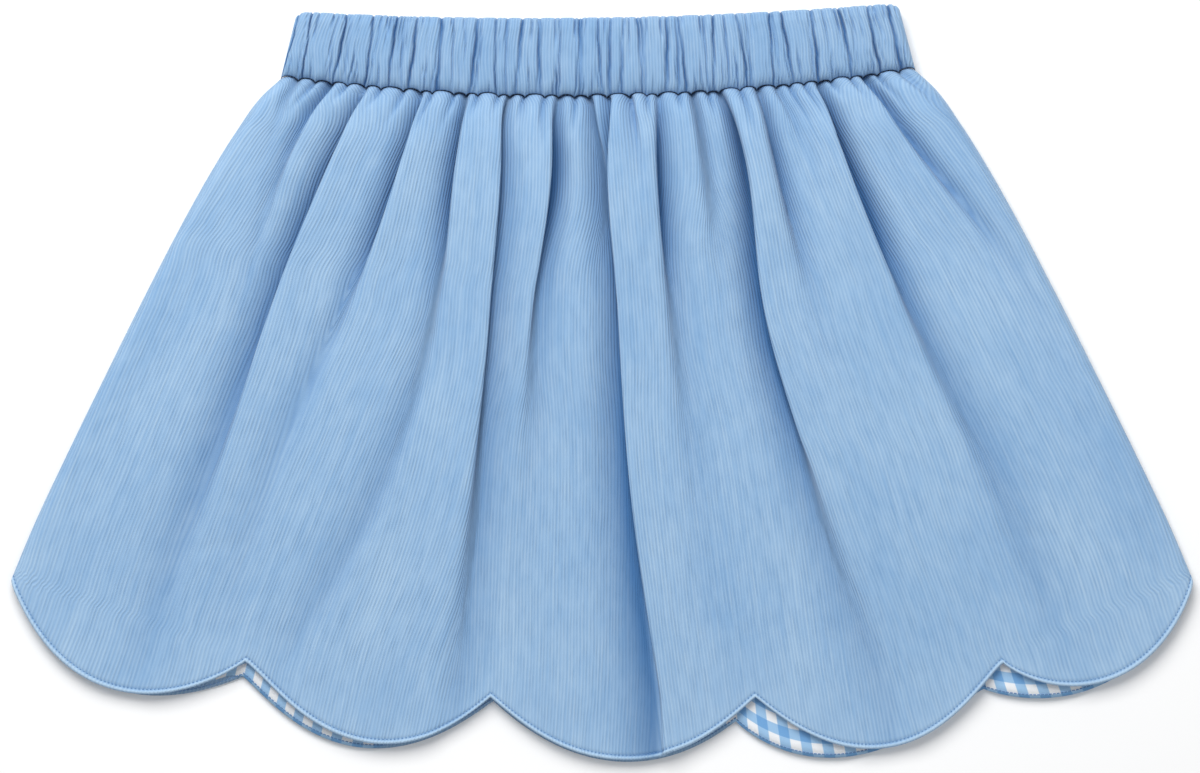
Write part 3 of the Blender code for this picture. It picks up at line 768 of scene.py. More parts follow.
class Finishes:
    """The skirt's materials, and the node groups that they share."""

    def __init__(self) -> None:
        """Makes the node groups, then the materials that use them."""
        self.ribs = self._ribs_group()
        self.nap = self._nap_group()
        self.checks = self._checks_group()
        self.corduroy = self._corduroy("needlecord", CorduroyFinish())
        self.gingham = self._gingham("gingham", GinghamFinish())
        self.thread = self._thread("sewing_thread", ThreadFinish())

    def _ribs_group(self) -> bpy.types.NodeTree:
        """Makes ribs along the cloth: a sine across it with a wandering phase and uneven height."""
        tree, g, start, end = group(
            "corduroy_ribs",
            {"Cloth": Socket.VECTOR, "Pitch": Socket.VALUE},
            {"Rib": Socket.VALUE, "Height": Socket.VALUE},
        )
        cloth = start.outputs["Cloth"]
        split = g.node("ShaderNodeSeparateXYZ")
        g.put(split.inputs[0], cloth)
        wander = g.noise(g.stretched(cloth, (120.0, 26.0, 1.0)), 1.0, 2.0)
        turns = g.math("DIVIDE", split.outputs[0], start.outputs["Pitch"])
        turns = g.math("ADD", turns, g.math("MULTIPLY", wander, 1.1))
        rib = g.math("SINE", g.math("MULTIPLY", turns, 2 * math.pi))
        rib = g.math("MULTIPLY_ADD", rib, 0.5, 0.5)
        strength = g.noise(g.stretched(cloth, (420.0, 90.0, 1.0)), 1.0, 2.0)
        strength = g.ranged(strength, 0.3, 0.7, 0.3, 1.0)
        pile = g.noise(g.stretched(cloth, (2600.0, 1500.0, 1.0)), 1.0, 1.0)
        centred = g.math("SUBTRACT", rib, 0.5)
        shaped = g.math("ADD", g.math("MULTIPLY", centred, strength), 0.5)
        g.put(end.inputs["Rib"], shaped)
        g.put(end.inputs["Height"], g.math("ADD", shaped, g.math("MULTIPLY", pile, 0.18)))
        return tree

    def _nap_group(self) -> bpy.types.NodeTree:
        """Makes patches where the pile is brushed lighter or darker, drawn out along the ribs."""
        tree, g, start, end = group(
            "brushed_nap", {"Cloth": Socket.VECTOR}, {"Patches": Socket.VALUE}
        )
        cloth = start.outputs["Cloth"]
        broad = g.noise(g.stretched(cloth, (42.0, 17.0, 1.0)), 1.0, 3.0)
        small = g.noise(g.stretched(cloth, (260.0, 110.0, 1.0)), 1.0, 3.0)
        streaks = g.noise(g.stretched(cloth, (800.0, 16.0, 1.0)), 1.0, 1.0)
        both = g.math("ADD", g.math("MULTIPLY", broad, 0.45), g.math("MULTIPLY", small, 0.25))
        both = g.math("ADD", both, g.math("MULTIPLY", streaks, 0.30))
        g.put(end.inputs["Patches"], g.ranged(both, 0.36, 0.64, 0.0, 1.0))
        return tree

    def _checks_group(self) -> bpy.types.NodeTree:
        """Makes soft-edged stripes both ways, and the threads of a plain weave."""
        tree, g, start, end = group(
            "gingham_checks",
            {"Cloth": Socket.VECTOR, "Repeat": Socket.VALUE, "Thread": Socket.VALUE},
            {"Warp": Socket.VALUE, "Weft": Socket.VALUE, "Weave": Socket.VALUE},
        )
        split = g.node("ShaderNodeSeparateXYZ")
        g.put(split.inputs[0], start.outputs["Cloth"])
        weave = []
        for axis, name in ((0, "Warp"), (1, "Weft")):
            turns = g.math("DIVIDE", split.outputs[axis], start.outputs["Repeat"])
            wave = g.math("SINE", g.math("MULTIPLY", turns, 2 * math.pi))
            g.put(end.inputs[name], g.ranged(wave, -0.09, 0.09, 0.0, 1.0))
            threads = g.math("DIVIDE", split.outputs[axis], start.outputs["Thread"])
            weave.append(g.math("SINE", g.math("MULTIPLY", threads, 2 * math.pi)))
        g.put(end.inputs["Weave"], g.math("MULTIPLY", weave[0], weave[1]))
        return tree

    def _start(self, name: str) -> tuple[bpy.types.Material, Graph, bpy.types.Node, bpy.types.NodeSocket]:
        """Returns a new material, a Graph on it, its shader and the place on the cloth."""
        material = bpy.data.materials.new(name)
        material.use_nodes = True
        tree = material.node_tree
        shader = tree.nodes["Principled BSDF"]
        g = Graph(tree)
        place = g.node("ShaderNodeUVMap", uv_map="cloth")
        return material, g, shader, place.outputs[0]

    def _use(self, g: Graph, tree: bpy.types.NodeTree, **inputs) -> bpy.types.Node:
        """Adds a node group, with its inputs joined or set, and returns its node."""
        made = g.node("ShaderNodeGroup", node_tree=tree)
        for key, value in inputs.items():
            g.put(made.inputs[key], value)
        return made

    def _bump(self, g: Graph, shader: bpy.types.Node, height, distance: float, strength: float) -> None:
        """Gives the shader a bumped normal, `distance` metres high at most."""
        bump = g.node("ShaderNodeBump")
        bump.inputs["Strength"].default_value = strength
        bump.inputs["Distance"].default_value = distance
        g.put(bump.inputs["Height"], height)
        g.put(shader.inputs["Normal"], bump.outputs[0])

    def _corduroy(self, name: str, finish: CorduroyFinish) -> bpy.types.Material:
        """Returns the needlecord: ribs and nap, with painted shade in the ribs' grooves and in folds, and
        painted light at the hem.
        """
        material, g, shader, cloth = self._start(name)
        ribs = self._use(g, self.ribs, Cloth=cloth, Pitch=finish.rib_pitch)
        nap = self._use(g, self.nap, Cloth=cloth)
        patches = g.ranged(nap.outputs[0], 0.0, 1.0, 0.0, finish.rubbed_share)
        colour = g.blend(patches, finish.base, finish.rubbed)
        # Painted shade: the cloth darkens towards the groove colour between the ribs.
        dark = g.ranged(ribs.outputs["Rib"], 0.0, 0.7, finish.groove_shade_share, 0.0)
        colour = g.blend(dark, colour, finish.groove_shade)
        # Painted shade: the cloth darkens towards the crease colour where the shading attribute is above
        # 0.
        painted_shading = g.node("ShaderNodeAttribute", attribute_name="painted_shading")
        sunk = g.ranged(painted_shading.outputs["Fac"], 0.0, 1.0, 0.0, finish.crease_shade_share)
        colour = g.blend(sunk, colour, finish.crease)
        # Painted light: where the shading attribute is below 0 the cloth lightens, as a highlight on the
        # hem.
        painted_light = g.ranged(painted_shading.outputs["Fac"], -1.0, 0.0, finish.painted_light_share, 0.0)
        colour = g.blend(painted_light, colour, finish.painted_light)
        g.put(shader.inputs["Base Color"], colour)
        shader.inputs["Roughness"].default_value = finish.roughness
        shader.inputs["Specular IOR Level"].default_value = finish.specular
        shader.inputs["Sheen Weight"].default_value = finish.sheen
        shader.inputs["Sheen Roughness"].default_value = finish.sheen_roughness
        shader.inputs["Sheen Tint"].default_value = finish.sheen_tint
        self._bump(g, shader, ribs.outputs["Height"], finish.rib_relief, finish.rib_strength)
        return material

    def _gingham(self, name: str, finish: GinghamFinish) -> bpy.types.Material:
        """Returns the gingham: one stripe gives the single colour, two that cross the double."""
        material, g, shader, cloth = self._start(name)
        checks = self._use(g, self.checks, Cloth=cloth, Repeat=finish.repeat, Thread=finish.thread)
        one = g.math("MAXIMUM", checks.outputs["Warp"], checks.outputs["Weft"])
        both = g.math("MULTIPLY", checks.outputs["Warp"], checks.outputs["Weft"])
        colour = g.blend(one, finish.white, finish.single)
        colour = g.blend(both, colour, finish.double)
        grain = g.ranged(checks.outputs["Weave"], -1.0, 1.0, 0.0, finish.grain_share)
        colour = g.blend(grain, colour, finish.grain)
        g.put(shader.inputs["Base Color"], colour)
        shader.inputs["Roughness"].default_value = finish.roughness
        shader.inputs["Specular IOR Level"].default_value = finish.specular
        self._bump(g, shader, checks.outputs["Weave"], finish.grain_relief, 0.5)
        return material

    def _thread(self, name: str, finish: ThreadFinish) -> bpy.types.Material:
        """Returns the thread, with its plies as a fine noise."""
        material, g, shader, _ = self._start(name)
        place = g.node("ShaderNodeTexCoord")
        ply = g.noise(place.outputs["Object"], finish.ply_scale, 1.0)
        g.put(shader.inputs["Base Color"], g.blend(ply, finish.dark, finish.light))
        shader.inputs["Roughness"].default_value = finish.roughness
        self._bump(g, shader, ply, finish.ply_relief, 0.4)
        return material


class FrontCloth:
    """The front: its corduroy panel, the lining under it and the stitching along its hem."""

    columns: tuple[int, ...] = (110, 104, 118, 112, 88)
    lining_columns: tuple[int, ...] = (24, 22, 25, 24, 20)
    edge_mm: tuple[float, ...] = (9.0, 6.5, 4.6, 3.4, 2.7, 2.2, 1.8, 1.4, 1.0, 0.6, 0.3, 0.1, 0.0)
    under_mm: tuple[tuple[float, float], ...] = ((0.0, 0.45), (0.25, 0.85), (1.5, 1.0), (4.0, 1.0))
    last_plain_row = 0.94
    seam_turn, seam_reach = 1.9, 3.5
    side_step = 1.2
    lining_rows, lining_top = 30, 6.6

    def __init__(self, finishes: Finishes) -> None:
        """Measures the cloth and its ribs.

        Args:
            finishes: the skirt's materials.
        """
        self.relief = FrontRelief()
        self.panel = Panel(FRONT_HEM, self.relief.height)
        self.ribs = RibMap(self.panel, self.relief)
        self.finishes = finishes

    def _rows(self) -> Array:
        """Returns the rows: close together at the waist and at the hem's edge."""
        near = np.linspace(0, 1, 34) ** 1.6 * 0.12
        rest = np.linspace(0.12, self.last_plain_row, 92)[1:]
        plain = [(share, 0.0) for share in np.concatenate([near, rest])]
        return np.array(plain + [(1.0, mm) for mm in self.edge_mm])

    def _lift(self, from_edge: Array) -> Array:
        """Returns the lift of the hem's turned edge: sunk along the stitching and rounded outside."""
        sunk = 0.35 * bell(from_edge - HEM_STITCH_IN, 0.55)
        swell = 0.3 * bell(from_edge - 0.95, 0.5)
        return swell - sunk - 0.5 * (1 - rounded(from_edge, 0.7))

    def _place(self, across: Array, down: Array, z: Array) -> Array:
        """Returns the points of the cloth, with its folds' lean."""
        x, y = fan(self.panel.hem, across, down)
        return np.stack([self.relief.shifted(across, down, x, z), y, z], axis=-1)

    def _painted_shade(self, across: Array, down: Array) -> Array:
        """Finds the shade painted beside the folds and puckers and near the waist, at each point.

        Beside a fold the shade falls as `exp(-|gap / width|^1.6)`, broad on the side that shows and
        narrow on what lies over.

        Args:
            across: shares across, from the left side seam.
            down: shares of the way down.

        Returns:
            The painted shade of each point, 0 to 1.
        """
        width = row_width(down)
        total = np.zeros_like(down)
        for fold in FOLDS:
            gap = fold.over * (across - through(FOLD_DOWN, fold.line, down)) * width
            depth = np.clip(through(FOLD_DOWN, fold.depth, down), 0, None)
            soft = mix(*SHADE_SOFT, down)
            crisp_share = np.clip(depth / CRISP_DEPTH, 0, 1)
            crisp = mix(ROUND_EDGE * soft, mix(*SHADE_CRISP, down), crisp_share)
            side = np.where(gap > 0, crisp, soft)
            fall = np.exp(-np.abs(gap / side) ** SHADE_FALL)
            shade = np.clip(depth / SHADE_DEPTH, 0, SHADE_MOST) * fall
            total = 1 - (1 - total) * (1 - np.clip(shade, 0, 1))
        below = down * (WAIST_CENTRE_Y - FRONT_HEM.notch_y[2])
        for k, line in enumerate(self.relief.puckers):
            gap = (across - line) * width
            fade = bell(below, PUCKER_SHADE_REACH * self.relief.reach(k))
            shade = PUCKER_SHADE * fade * np.exp(-np.abs(gap / PUCKER_SHADE_WIDTH))
            total = np.maximum(total, shade)
        near_waist = WAIST_SHADE * bell(down, WAIST_SHADE_DOWN)
        return np.clip(1 - (1 - total) * (1 - near_waist), 0, 1)

    def _panel(self) -> bpy.types.Object:
        """Makes the corduroy panel: its face, its turned hem and the wall at each side seam."""
        cloth = self.panel.columns(self.columns)
        across, down = self.panel.places(cloth, self._rows())
        bulge, length = self.panel.scallop(cloth)
        from_edge = (1 + bulge - down) * length
        points = self._place(across, down, self.relief.height(across, down) + self._lift(from_edge))
        below = down * length
        points[..., 1] += self.relief.seam_wave(across) * bell(below, self.seam_reach)
        points[..., 2] -= self.seam_turn * (1 - rounded(below, self.seam_turn))
        # Painted shade in the folds, at the waist seam and along the stitching.
        painted_shading = np.maximum(self._painted_shade(across, down), SEAM_SHADE * np.exp(-below / SEAM_SHADE_MM))
        painted_shading += STITCH_SHADE * bell(from_edge - HEM_STITCH_IN, STITCH_SHADE_MM)
        # Painted highlight along the hem's rounded edge, and painted light near the hem.
        painted_shading -= EDGE_HIGHLIGHT * bell(from_edge - EDGE_HIGHLIGHT_IN, EDGE_HIGHLIGHT_MM)
        painted_shading -= HEM_PAINTED_LIGHT * np.exp(-from_edge / HEM_PAINTED_LIGHT_MM)
        grids = [(points, np.stack([self.ribs.read(across, down), below], axis=-1), painted_shading)]
        for inward, drop in self.under_mm:
            a, d = self.panel.places(cloth, np.array([(1.0, inward)]))
            under = self._place(a, d, self.relief.height(a, d) - 0.5 - drop)
            grids.append((under, np.stack([self.ribs.read(a, d), d * length], axis=-1), 0 * a))
        joined = self._sides(*(np.concatenate(kind) for kind in zip(*grids)))
        return Patch(*joined).mesh("front_corduroy", self.finishes.corduroy)

    def build(self) -> list[bpy.types.Object]:
        """Returns the front's pieces."""
        front = self._panel()
        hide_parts("cord_front")
        lining = self._lining()
        line = self.along_hem(HEM_STITCH_IN, STITCH_PITCH)
        stitches = Stitching(self.finishes).along("front_hem_stitches", *line, STITCH_LENGTH)
        return [front, lining, stitches]

    def _sides(self, points: Array, uv: Array, painted_shading: Array) -> tuple[Array, Array, Array]:
        """Adds a column at each side seam that closes the wall down to the back.

        Args:
            points: the panel's points, rows by columns.
            uv: their places on the cloth.
            painted_shading: their shade.

        Returns:
            The same three, each one column wider at both sides.
        """
        left, right = points[:, :1].copy(), points[:, -1:].copy()
        for column in (left, right):
            column[..., 2] = np.minimum(column[..., 2], SEAM_Z)
        past = [self.side_step, 0]
        points = np.concatenate([left, points, right], axis=1)
        uv = np.concatenate([uv[:, :1] - past, uv, uv[:, -1:] + past], axis=1)
        painted_shading = np.concatenate([painted_shading[:, :1], painted_shading, painted_shading[:, -1:]], axis=1)
        return points, uv, painted_shading

    def _lining(self) -> bpy.types.Object:
        """Makes the gingham under the front, a wall that follows the broad folds above it."""
        cloth = self.panel.columns(self.lining_columns)
        shares = np.linspace(0, 1, self.lining_rows)
        rows = np.stack([shares, LINING_TUCK * shares], axis=-1)
        across, down = self.panel.places(cloth, rows, LINING_INSET)
        near = [
            self.relief.height(np.clip(across + k, 0.02, 0.98), np.maximum(down + j, 0))
            for k in np.linspace(-0.016, 0.016, 9)
            for j in (-0.04, 0, 0.04)
        ]
        lowest = VALLEY_Z - CORD - APART
        top = np.clip(np.minimum.reduce(near) - CORD - 2.2 * APART, lowest, self.lining_top)
        _, length = self.panel.scallop(cloth)
        uv = np.stack([self.ribs.read(across, down), down * length], axis=-1)
        faces = [(top, slice(None)), (top - GINGHAM, slice(None, None, -1))]
        points = np.concatenate([self._place(across, down, z)[turn] for z, turn in faces])
        points, uv = closed_ends(points, np.concatenate([uv, uv[::-1]]))
        patch = Patch(points, uv, np.zeros(points.shape[:2]))
        lining = patch.mesh("front_gingham", self.finishes.gingham, closed=True)
        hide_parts("gingham_front")
        return lining

    def along_hem(self, inward: float, spacing: float) -> tuple[Array, Array]:
        """Places for stitches beside the hem's edge.

        Args:
            inward: how far inside the edge, in mm.
            spacing: the distance from one to the next, in mm.

        Returns:
            Points, and the direction of the hem at each.
        """
        cloth = self.panel.columns(STITCH_COLUMNS)
        across, down = self.panel.places(cloth, np.array([(1.0, inward)]))
        z = self.relief.height(across, down) + self._lift(np.full_like(across, inward)) + STITCH_PROUD
        return spaced(self._place(across, down, z)[0], spacing)


def closed_ends(points: Array, uv: Array) -> tuple[Array, Array]:
    """Pinches a closed wall together at both sides: a column halfway between its two faces.

    Args:
        points: the upper face's rows, then the lower face's rows in turned order.
        uv: their places on the cloth.

    Returns:
        Both, one column wider at each side.
    """
    half = points.shape[0] // 2
    ends = []
    for at in (0, -1):
        column = points[:, at : at + 1 or None].copy()
        middle = (column[:half, :, 2] + column[half:, :, 2][::-1]) / 2
        column[:half, :, 2], column[half:, :, 2] = middle, middle[::-1]
        ends.append(column)
    points = np.concatenate([ends[0], points, ends[1]], axis=1)
    uv = np.concatenate([uv[:, :1], uv, uv[:, -1:]], axis=1)
    return points, uv


def spaced(line: Array, step: float) -> tuple[Array, Array]:
    """Spaces points evenly along a line.

    Args:
        line: the line's points.
        step: the distance from one new point to the next.

    Returns:
        The new points, and the line's direction at each.
    """
    lengths = np.concatenate([[0], np.cumsum(np.linalg.norm(np.diff(line, axis=0), axis=1))])
    at = np.arange(step, lengths[-1] - step / 2, step)
    points = np.stack([np.interp(at, lengths, line[:, k]) for k in range(3)], axis=-1)
    ahead = np.stack([np.interp(at + 0.3, lengths, line[:, k]) for k in range(3)], axis=-1)
    direction = ahead - points
    return points, direction / np.linalg.norm(direction, axis=1, keepdims=True)


class BackCloth:
    """The back: a corduroy panel flat on the surface, and a gingham panel on top of it."""

    columns: tuple[int, ...] = (50, 50, 50, 50, 50)
    rows = 60
    turned: tuple[float, ...] = (0.02, 0.06, 0.13, 0.3, 0.5, 0.75, 1.0)
    seam_wall = 1.0
    trough_most, trough_share, trough_width = 0.9, 9.0, (2.0, 7.0)
    tuck_x: tuple[float, ...] = (-152.0, -146.5, -90.0, -78.0, 42.0, 54.0)
    tuck_mm: tuple[float, ...] = (3.2, 0.15, 0.15, 3.2, 3.2, 0.15)
    check_shift: tuple[float, float] = (6.7, 3.05)
    rib_length = 250.0
    stitch_inset = 2.0

    def __init__(self, finishes: Finishes, front: FrontCloth) -> None:
        """Measures the back's cloth, which lies flat.

        Args:
            finishes: the skirt's materials.
            front: the front, whose ribs run on over the side seams.
        """
        self.panel = Panel(BACK_HEM, lambda across, down: 0 * across)
        self.finishes, self.front = finishes, front

    def _edge(self, across: Array, down: Array) -> Array:
        """Returns the quarter round at the side seams, 0 at the edge and 1 inside it."""
        return rounded(np.minimum(across, 1 - across) * row_width(down), SIDE_ROLL)

    def _troughs(self, across: Array, down: Array) -> Array:
        """Returns the depth of the underside's shallow folds, between the parts that rest."""
        width = row_width(down)
        total = np.zeros_like(across)
        for k, fold in enumerate(FOLDS):
            line = 1 - through(FOLD_DOWN, fold.line, down) + 0.02 * math.sin(2.1 * k)
            depth = np.clip(through(FOLD_DOWN, fold.depth, down), 0, None) / self.trough_share
            total = total + depth * bell((across - line) * width, mix(*self.trough_width, down))
        return self.trough_most * np.clip(total, 0, 1)

    def _low(self, across: Array, down: Array) -> Array:
        """Returns the height of the corduroy's lower face."""
        edge = self._edge(across, down)
        return (SEAM_Z - self.seam_wall) * (1 - edge) + self._troughs(across, down) * edge

    def _high(self, across: Array, down: Array) -> Array:
        """Returns the height of the corduroy's upper face."""
        edge = self._edge(across, down)
        return (SEAM_Z - self.seam_wall) * (1 - edge) + mix(self.seam_wall, CORD, edge)

    def _places(self, cloth: Array, inset: float) -> tuple[Array, Array, Array]:
        """Returns each row's share of the way to the hem's edge, and (across, down) of all points."""
        shares = np.linspace(0, 1, self.rows)
        rows = np.stack([shares, 0 * shares], axis=-1)
        return shares[:, None], *self.panel.places(cloth, rows, inset)

    def _cord_map(self, cloth: Array) -> tuple[Array, Array, Array]:
        """Lays out the corduroy, with more columns where it turns up at the side seams.

        Args:
            cloth: each column's share of the cloth.

        Returns:
            across, down, and the place on the cloth of each point.
        """
        _, across, down = self._places(cloth, 0.0)
        share = np.array(self.turned)[None, :] * SIDE_ROLL / row_width(down[:, :1])
        parts = [across[:, :1], share, across[:, 1:-1], 1 - share[:, ::-1], across[:, -1:]]
        wide = np.sort(np.concatenate(parts, axis=1), axis=1)
        down = np.array([np.interp(w, a, d) for w, a, d in zip(wide, across, down)])
        ribs = self.front.ribs.read(wide, np.clip(down, 0, 1.2))
        return wide, down, np.stack([ribs, down * self.rib_length], axis=-1)

    def _lining_map(self, cloth: Array) -> tuple[Array, Array, Array]:
        """Lays out the gingham, whose checks follow the hem where they show.

        Between the crescents that show, the lining stops short of the edge, so that the front
        covers it.

        Args:
            cloth: each column's share of the cloth.

        Returns:
            across, down, and the place on the cloth of each point.
        """
        shares, across, down = self._places(cloth, LINING_INSET)
        bulge, length = self.panel.scallop(cloth)
        hem_x = mix(HEM_LEFT, HEM_RIGHT, self.panel.at_hem(cloth))
        down = down - shares * np.interp(hem_x, self.tuck_x, self.tuck_mm) / length
        u = np.broadcast_to(self._along_edge(cloth), down.shape)
        v = (1 + bulge - down) * length
        return across, down, np.stack([u, v], axis=-1) + self.check_shift

    def _along_edge(self, cloth: Array) -> Array:
        """Finds each column's place along the hem's edge, from the middle.

        Args:
            cloth: each column's share of the cloth.

        Returns:
            Millimetres: the edge's own length at the left, and only its width at the right.
        """
        across, down = self.panel.places(cloth, np.array([(1.0, 0.0)]))
        x, y = (line[0] for line in fan(self.panel.hem, across, down))
        arc = np.clip(-x[:-1] / 20.0, 0, 1)
        steps = np.hypot(np.diff(x), arc * np.diff(y))
        along = np.concatenate([[0], np.cumsum(steps)])
        return along - np.interp(0, x, along)

    def _wall(
        self, name: str, place: tuple[Array, Array, Array], low: Height, high: Height, material
    ) -> bpy.types.Object:
        """Makes a closed wall.

        Args:
            name: the piece's name.
            place: across, down, and the place on the cloth of each point.
            low: gives the height of the lower face.
            high: gives the height of the upper face.
            material: the cloth's material.

        Returns:
            The piece.
        """
        across, down, uv = place
        x, y = fan(self.panel.hem, across, down)
        top = np.stack([x, y, high(across, down)], axis=-1)
        under = np.stack([x, y, low(across, down)], axis=-1)
        both = np.concatenate([top, under[::-1]])
        points, uv = closed_ends(both, np.concatenate([uv, uv[::-1]]))
        return Patch(points, uv, np.zeros(points.shape[:2])).mesh(name, material, closed=True)

    def build(self) -> list[bpy.types.Object]:
        """Returns the back's pieces."""
        cloth = self.panel.columns(self.columns)
        place = self._cord_map(cloth)
        cord = self._wall("back_corduroy", place, self._low, self._high, self.finishes.corduroy)
        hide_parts("cord_back")
        lining = self._wall(
            "back_gingham",
            self._lining_map(cloth),
            lambda across, down: 0 * across + BACK_LINING_Z,
            lambda across, down: 0 * across + BACK_LINING_Z + GINGHAM,
            self.finishes.gingham,
        )
        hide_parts("gingham_back")
        line = self._stitch_line()
        stitches = Stitching(self.finishes).along("back_hem_stitches", *line, BACK_STITCH_LENGTH)
        return [cord, lining, stitches]

    def _stitch_line(self) -> tuple[Array, Array]:
        """Returns the places of the stitches along the back's hem, and the hem's direction."""
        cloth = self.panel.columns(STITCH_COLUMNS)
        row = np.array([(1.0, BACK_STITCH_IN)])
        across, down = self.panel.places(cloth, row, self.stitch_inset)
        x, y = fan(self.panel.hem, across, down)
        z = np.full_like(x, BACK_LINING_Z + GINGHAM + STITCH_PROUD)
        return spaced(np.stack([x, y, z], axis=-1)[0], STITCH_PITCH)


@dataclass(frozen=True)
class Gather:
    """A crease of the waistband: where it stands at the seam and at the top, how it bows between,
    how high it starts and ends, and its depth and width in mm."""

    foot: float
    head: float
    bow: float
    start: float
    end: float
    depth: float
    width: float


class Waistband:
    """The gathered casing over its elastic: a front half and a back half."""

    up: tuple[float, ...] = (
        0.0, 0.012, 0.03, 0.055, 0.09, 0.13, 0.18, 0.24, 0.3, 0.37, 0.44, 0.51, 0.58, 0.65, 0.72,
        0.78, 0.84, 0.89, 0.93, 0.96, 0.98, 0.993, 1.0,
    )
    out_up: tuple[float, ...] = (0.0, 0.03, 0.08, 0.24, 0.5, 0.76, 0.92, 0.98, 1.0)
    out: tuple[float, ...] = (0.44, 0.64, 0.8, 0.97, 1.0, 0.97, 0.86, 0.6, 0.12)
    past_seam, past_top, fade = -0.3, 1.3, 0.25
    deepest, from_seam, from_top = 3.2, 84, 64
    width, corner_drop, corner_round = 250.0, 3.4, 6.0
    least_wall, back_calm = 0.15, 0.3
    cloth_start, cloth_height = 300.0, 34.0
    shade_from, shade_range, shade_power = 0.5, 2.2, 1.3

    def __init__(self, finishes: Finishes, relief: FrontRelief) -> None:
        """Draws the creases.

        Args:
            finishes: the skirt's materials.
            relief: the front's heights, for the line of the waist seam.
        """
        self.finishes, self.relief = finishes, relief
        rng = np.random.default_rng(31)
        self.gathered: list[Gather] = []
        for k in range(BAND_GATHERS + 1):
            foot = (k + 0.4 * math.sin(2.4 * k)) / BAND_GATHERS
            head = foot + 0.35 * math.sin(1.7 * k + 2.0) / BAND_GATHERS
            depth = self.deepest * (0.62 + 0.38 * math.sin(3.1 * k + 1.0))
            bow, width = rng.uniform(-0.0025, 0.0025), rng.uniform(0.25, 0.75)
            self.gathered.append(
                Gather(foot, head, bow, self.past_seam, self.past_top, depth, width)
            )
        for _ in range(self.from_seam):
            self.gathered.append(self._short(rng, 2.2, True))
        for _ in range(self.from_top):
            self.gathered.append(self._short(rng, 2.0, False))

    def _short(self, rng: np.random.Generator, deepest: float, from_seam: bool) -> Gather:
        """Draws a short crease.

        Args:
            rng: the source of its numbers.
            deepest: its greatest depth, in mm.
            from_seam: whether it runs up from the seam, or else down from the top edge.

        Returns:
            The crease.
        """
        foot = rng.uniform(0.01, 0.99)
        drift, bow = rng.uniform(-0.01, 0.01), rng.uniform(-0.003, 0.003)
        depth, width = rng.uniform(0.7, deepest), rng.uniform(0.2, 0.4)
        start, end = self.past_seam, self.past_top
        if from_seam:
            end = rng.uniform(0.2, 0.6)
        else:
            start = rng.uniform(0.35, 0.75)
        return Gather(foot, foot + drift, bow, start, end, depth, width)

    def relief_at(self, across: Array, up: Array) -> Array:
        """Finds the depth of the creases, each `depth / (1 + (gap / width)^2)` deep.

        Args:
            across: shares across, from the left end.
            up: shares of the way up, from the seam.

        Returns:
            Millimetres at each point: the deepest crease there, and a little of every other.
        """
        span = (WAIST_RIGHT - WAIST_LEFT) * 0.97
        total = np.zeros(np.broadcast(across, up).shape)
        for g in self.gathered:
            line = mix(g.foot, g.head, up) + g.bow * np.sin(math.pi * np.clip(up, 0, 1))
            line = line + 0.0007 * np.sin(13 * up + 40 * g.foot)
            line = line + 0.0004 * np.sin(31 * up + 77 * g.foot)
            ends = np.clip((up - g.start) / self.fade, 0, 1)
            ends = ends * np.clip((g.end - up) / self.fade, 0, 1)
            swell = 0.8 + 0.2 * np.sin(5 * up + 60 * g.foot)
            section = g.depth * ends / (1 + ((across - line) * span / g.width) ** 2)
            total = np.maximum(total, swell * section) + 0.12 * section
        return total

    def _from_end(self, across: Array) -> Array:
        """Returns the distance from the nearer end, in mm."""
        return np.minimum(across, 1 - across) * self.width

    def _place(self, across: Array, up: Array, dip: Array) -> tuple[Array, Array]:
        """Returns x and y of points of the band, whose top edge dips at each crease."""
        low_x = mix(WAIST_LEFT, WAIST_RIGHT, across)
        top_x = mix(BAND_TOP_LEFT, BAND_TOP_RIGHT, across)
        corner = self.corner_drop * (1 - rounded(self._from_end(across), self.corner_round))
        low = waist_y(low_x) + APART / 2 + self.relief.seam_wave(across)
        high = band_top_y(top_x) - corner - dip
        return mix(low_x, top_x, up), mix(low, high, up)

    def _rise(self, across: Array, share: Array, crease: Array, front: bool) -> Array:
        """Finds how far the casing stands out from its inner face.

        Args:
            across: shares across, from the left end.
            share: the section's own shape, 0 to 1.
            crease: the depth of the creases.
            front: whether this is the front half.

        Returns:
            Millimetres at each point.
        """
        thick = BAND_CREST_Z + 0.5 - BAND_INNER_Z if front else BAND_INNER_Z - APART
        shape = share if front else np.minimum(1, 1.25 * share)
        full = BAND_END_EDGE + (thick - BAND_END_EDGE) * shape
        sunk = crease * np.sqrt(share) * (1.0 if front else self.back_calm)
        end = rounded(self._from_end(across), BAND_END_ROLL)
        rise = BAND_END_EDGE * np.minimum(1, 2 * share) * (1 - end) + (full - sunk) * end
        return np.where(share > 0, np.maximum(rise, self.least_wall), 0)

    def _shade(self, up: Array, crease: Array, front: bool) -> Array:
        """Returns the shade of the creases, and on the front of the band and its seam as well."""
        shade = np.clip((crease - self.shade_from) / self.shade_range, 0, 1) ** self.shade_power
        if not front:
            return shade * self.back_calm
        return np.maximum(shade + BAND_SHADE, SEAM_SHADE * np.exp(-up / SEAM_SHADE_UP))

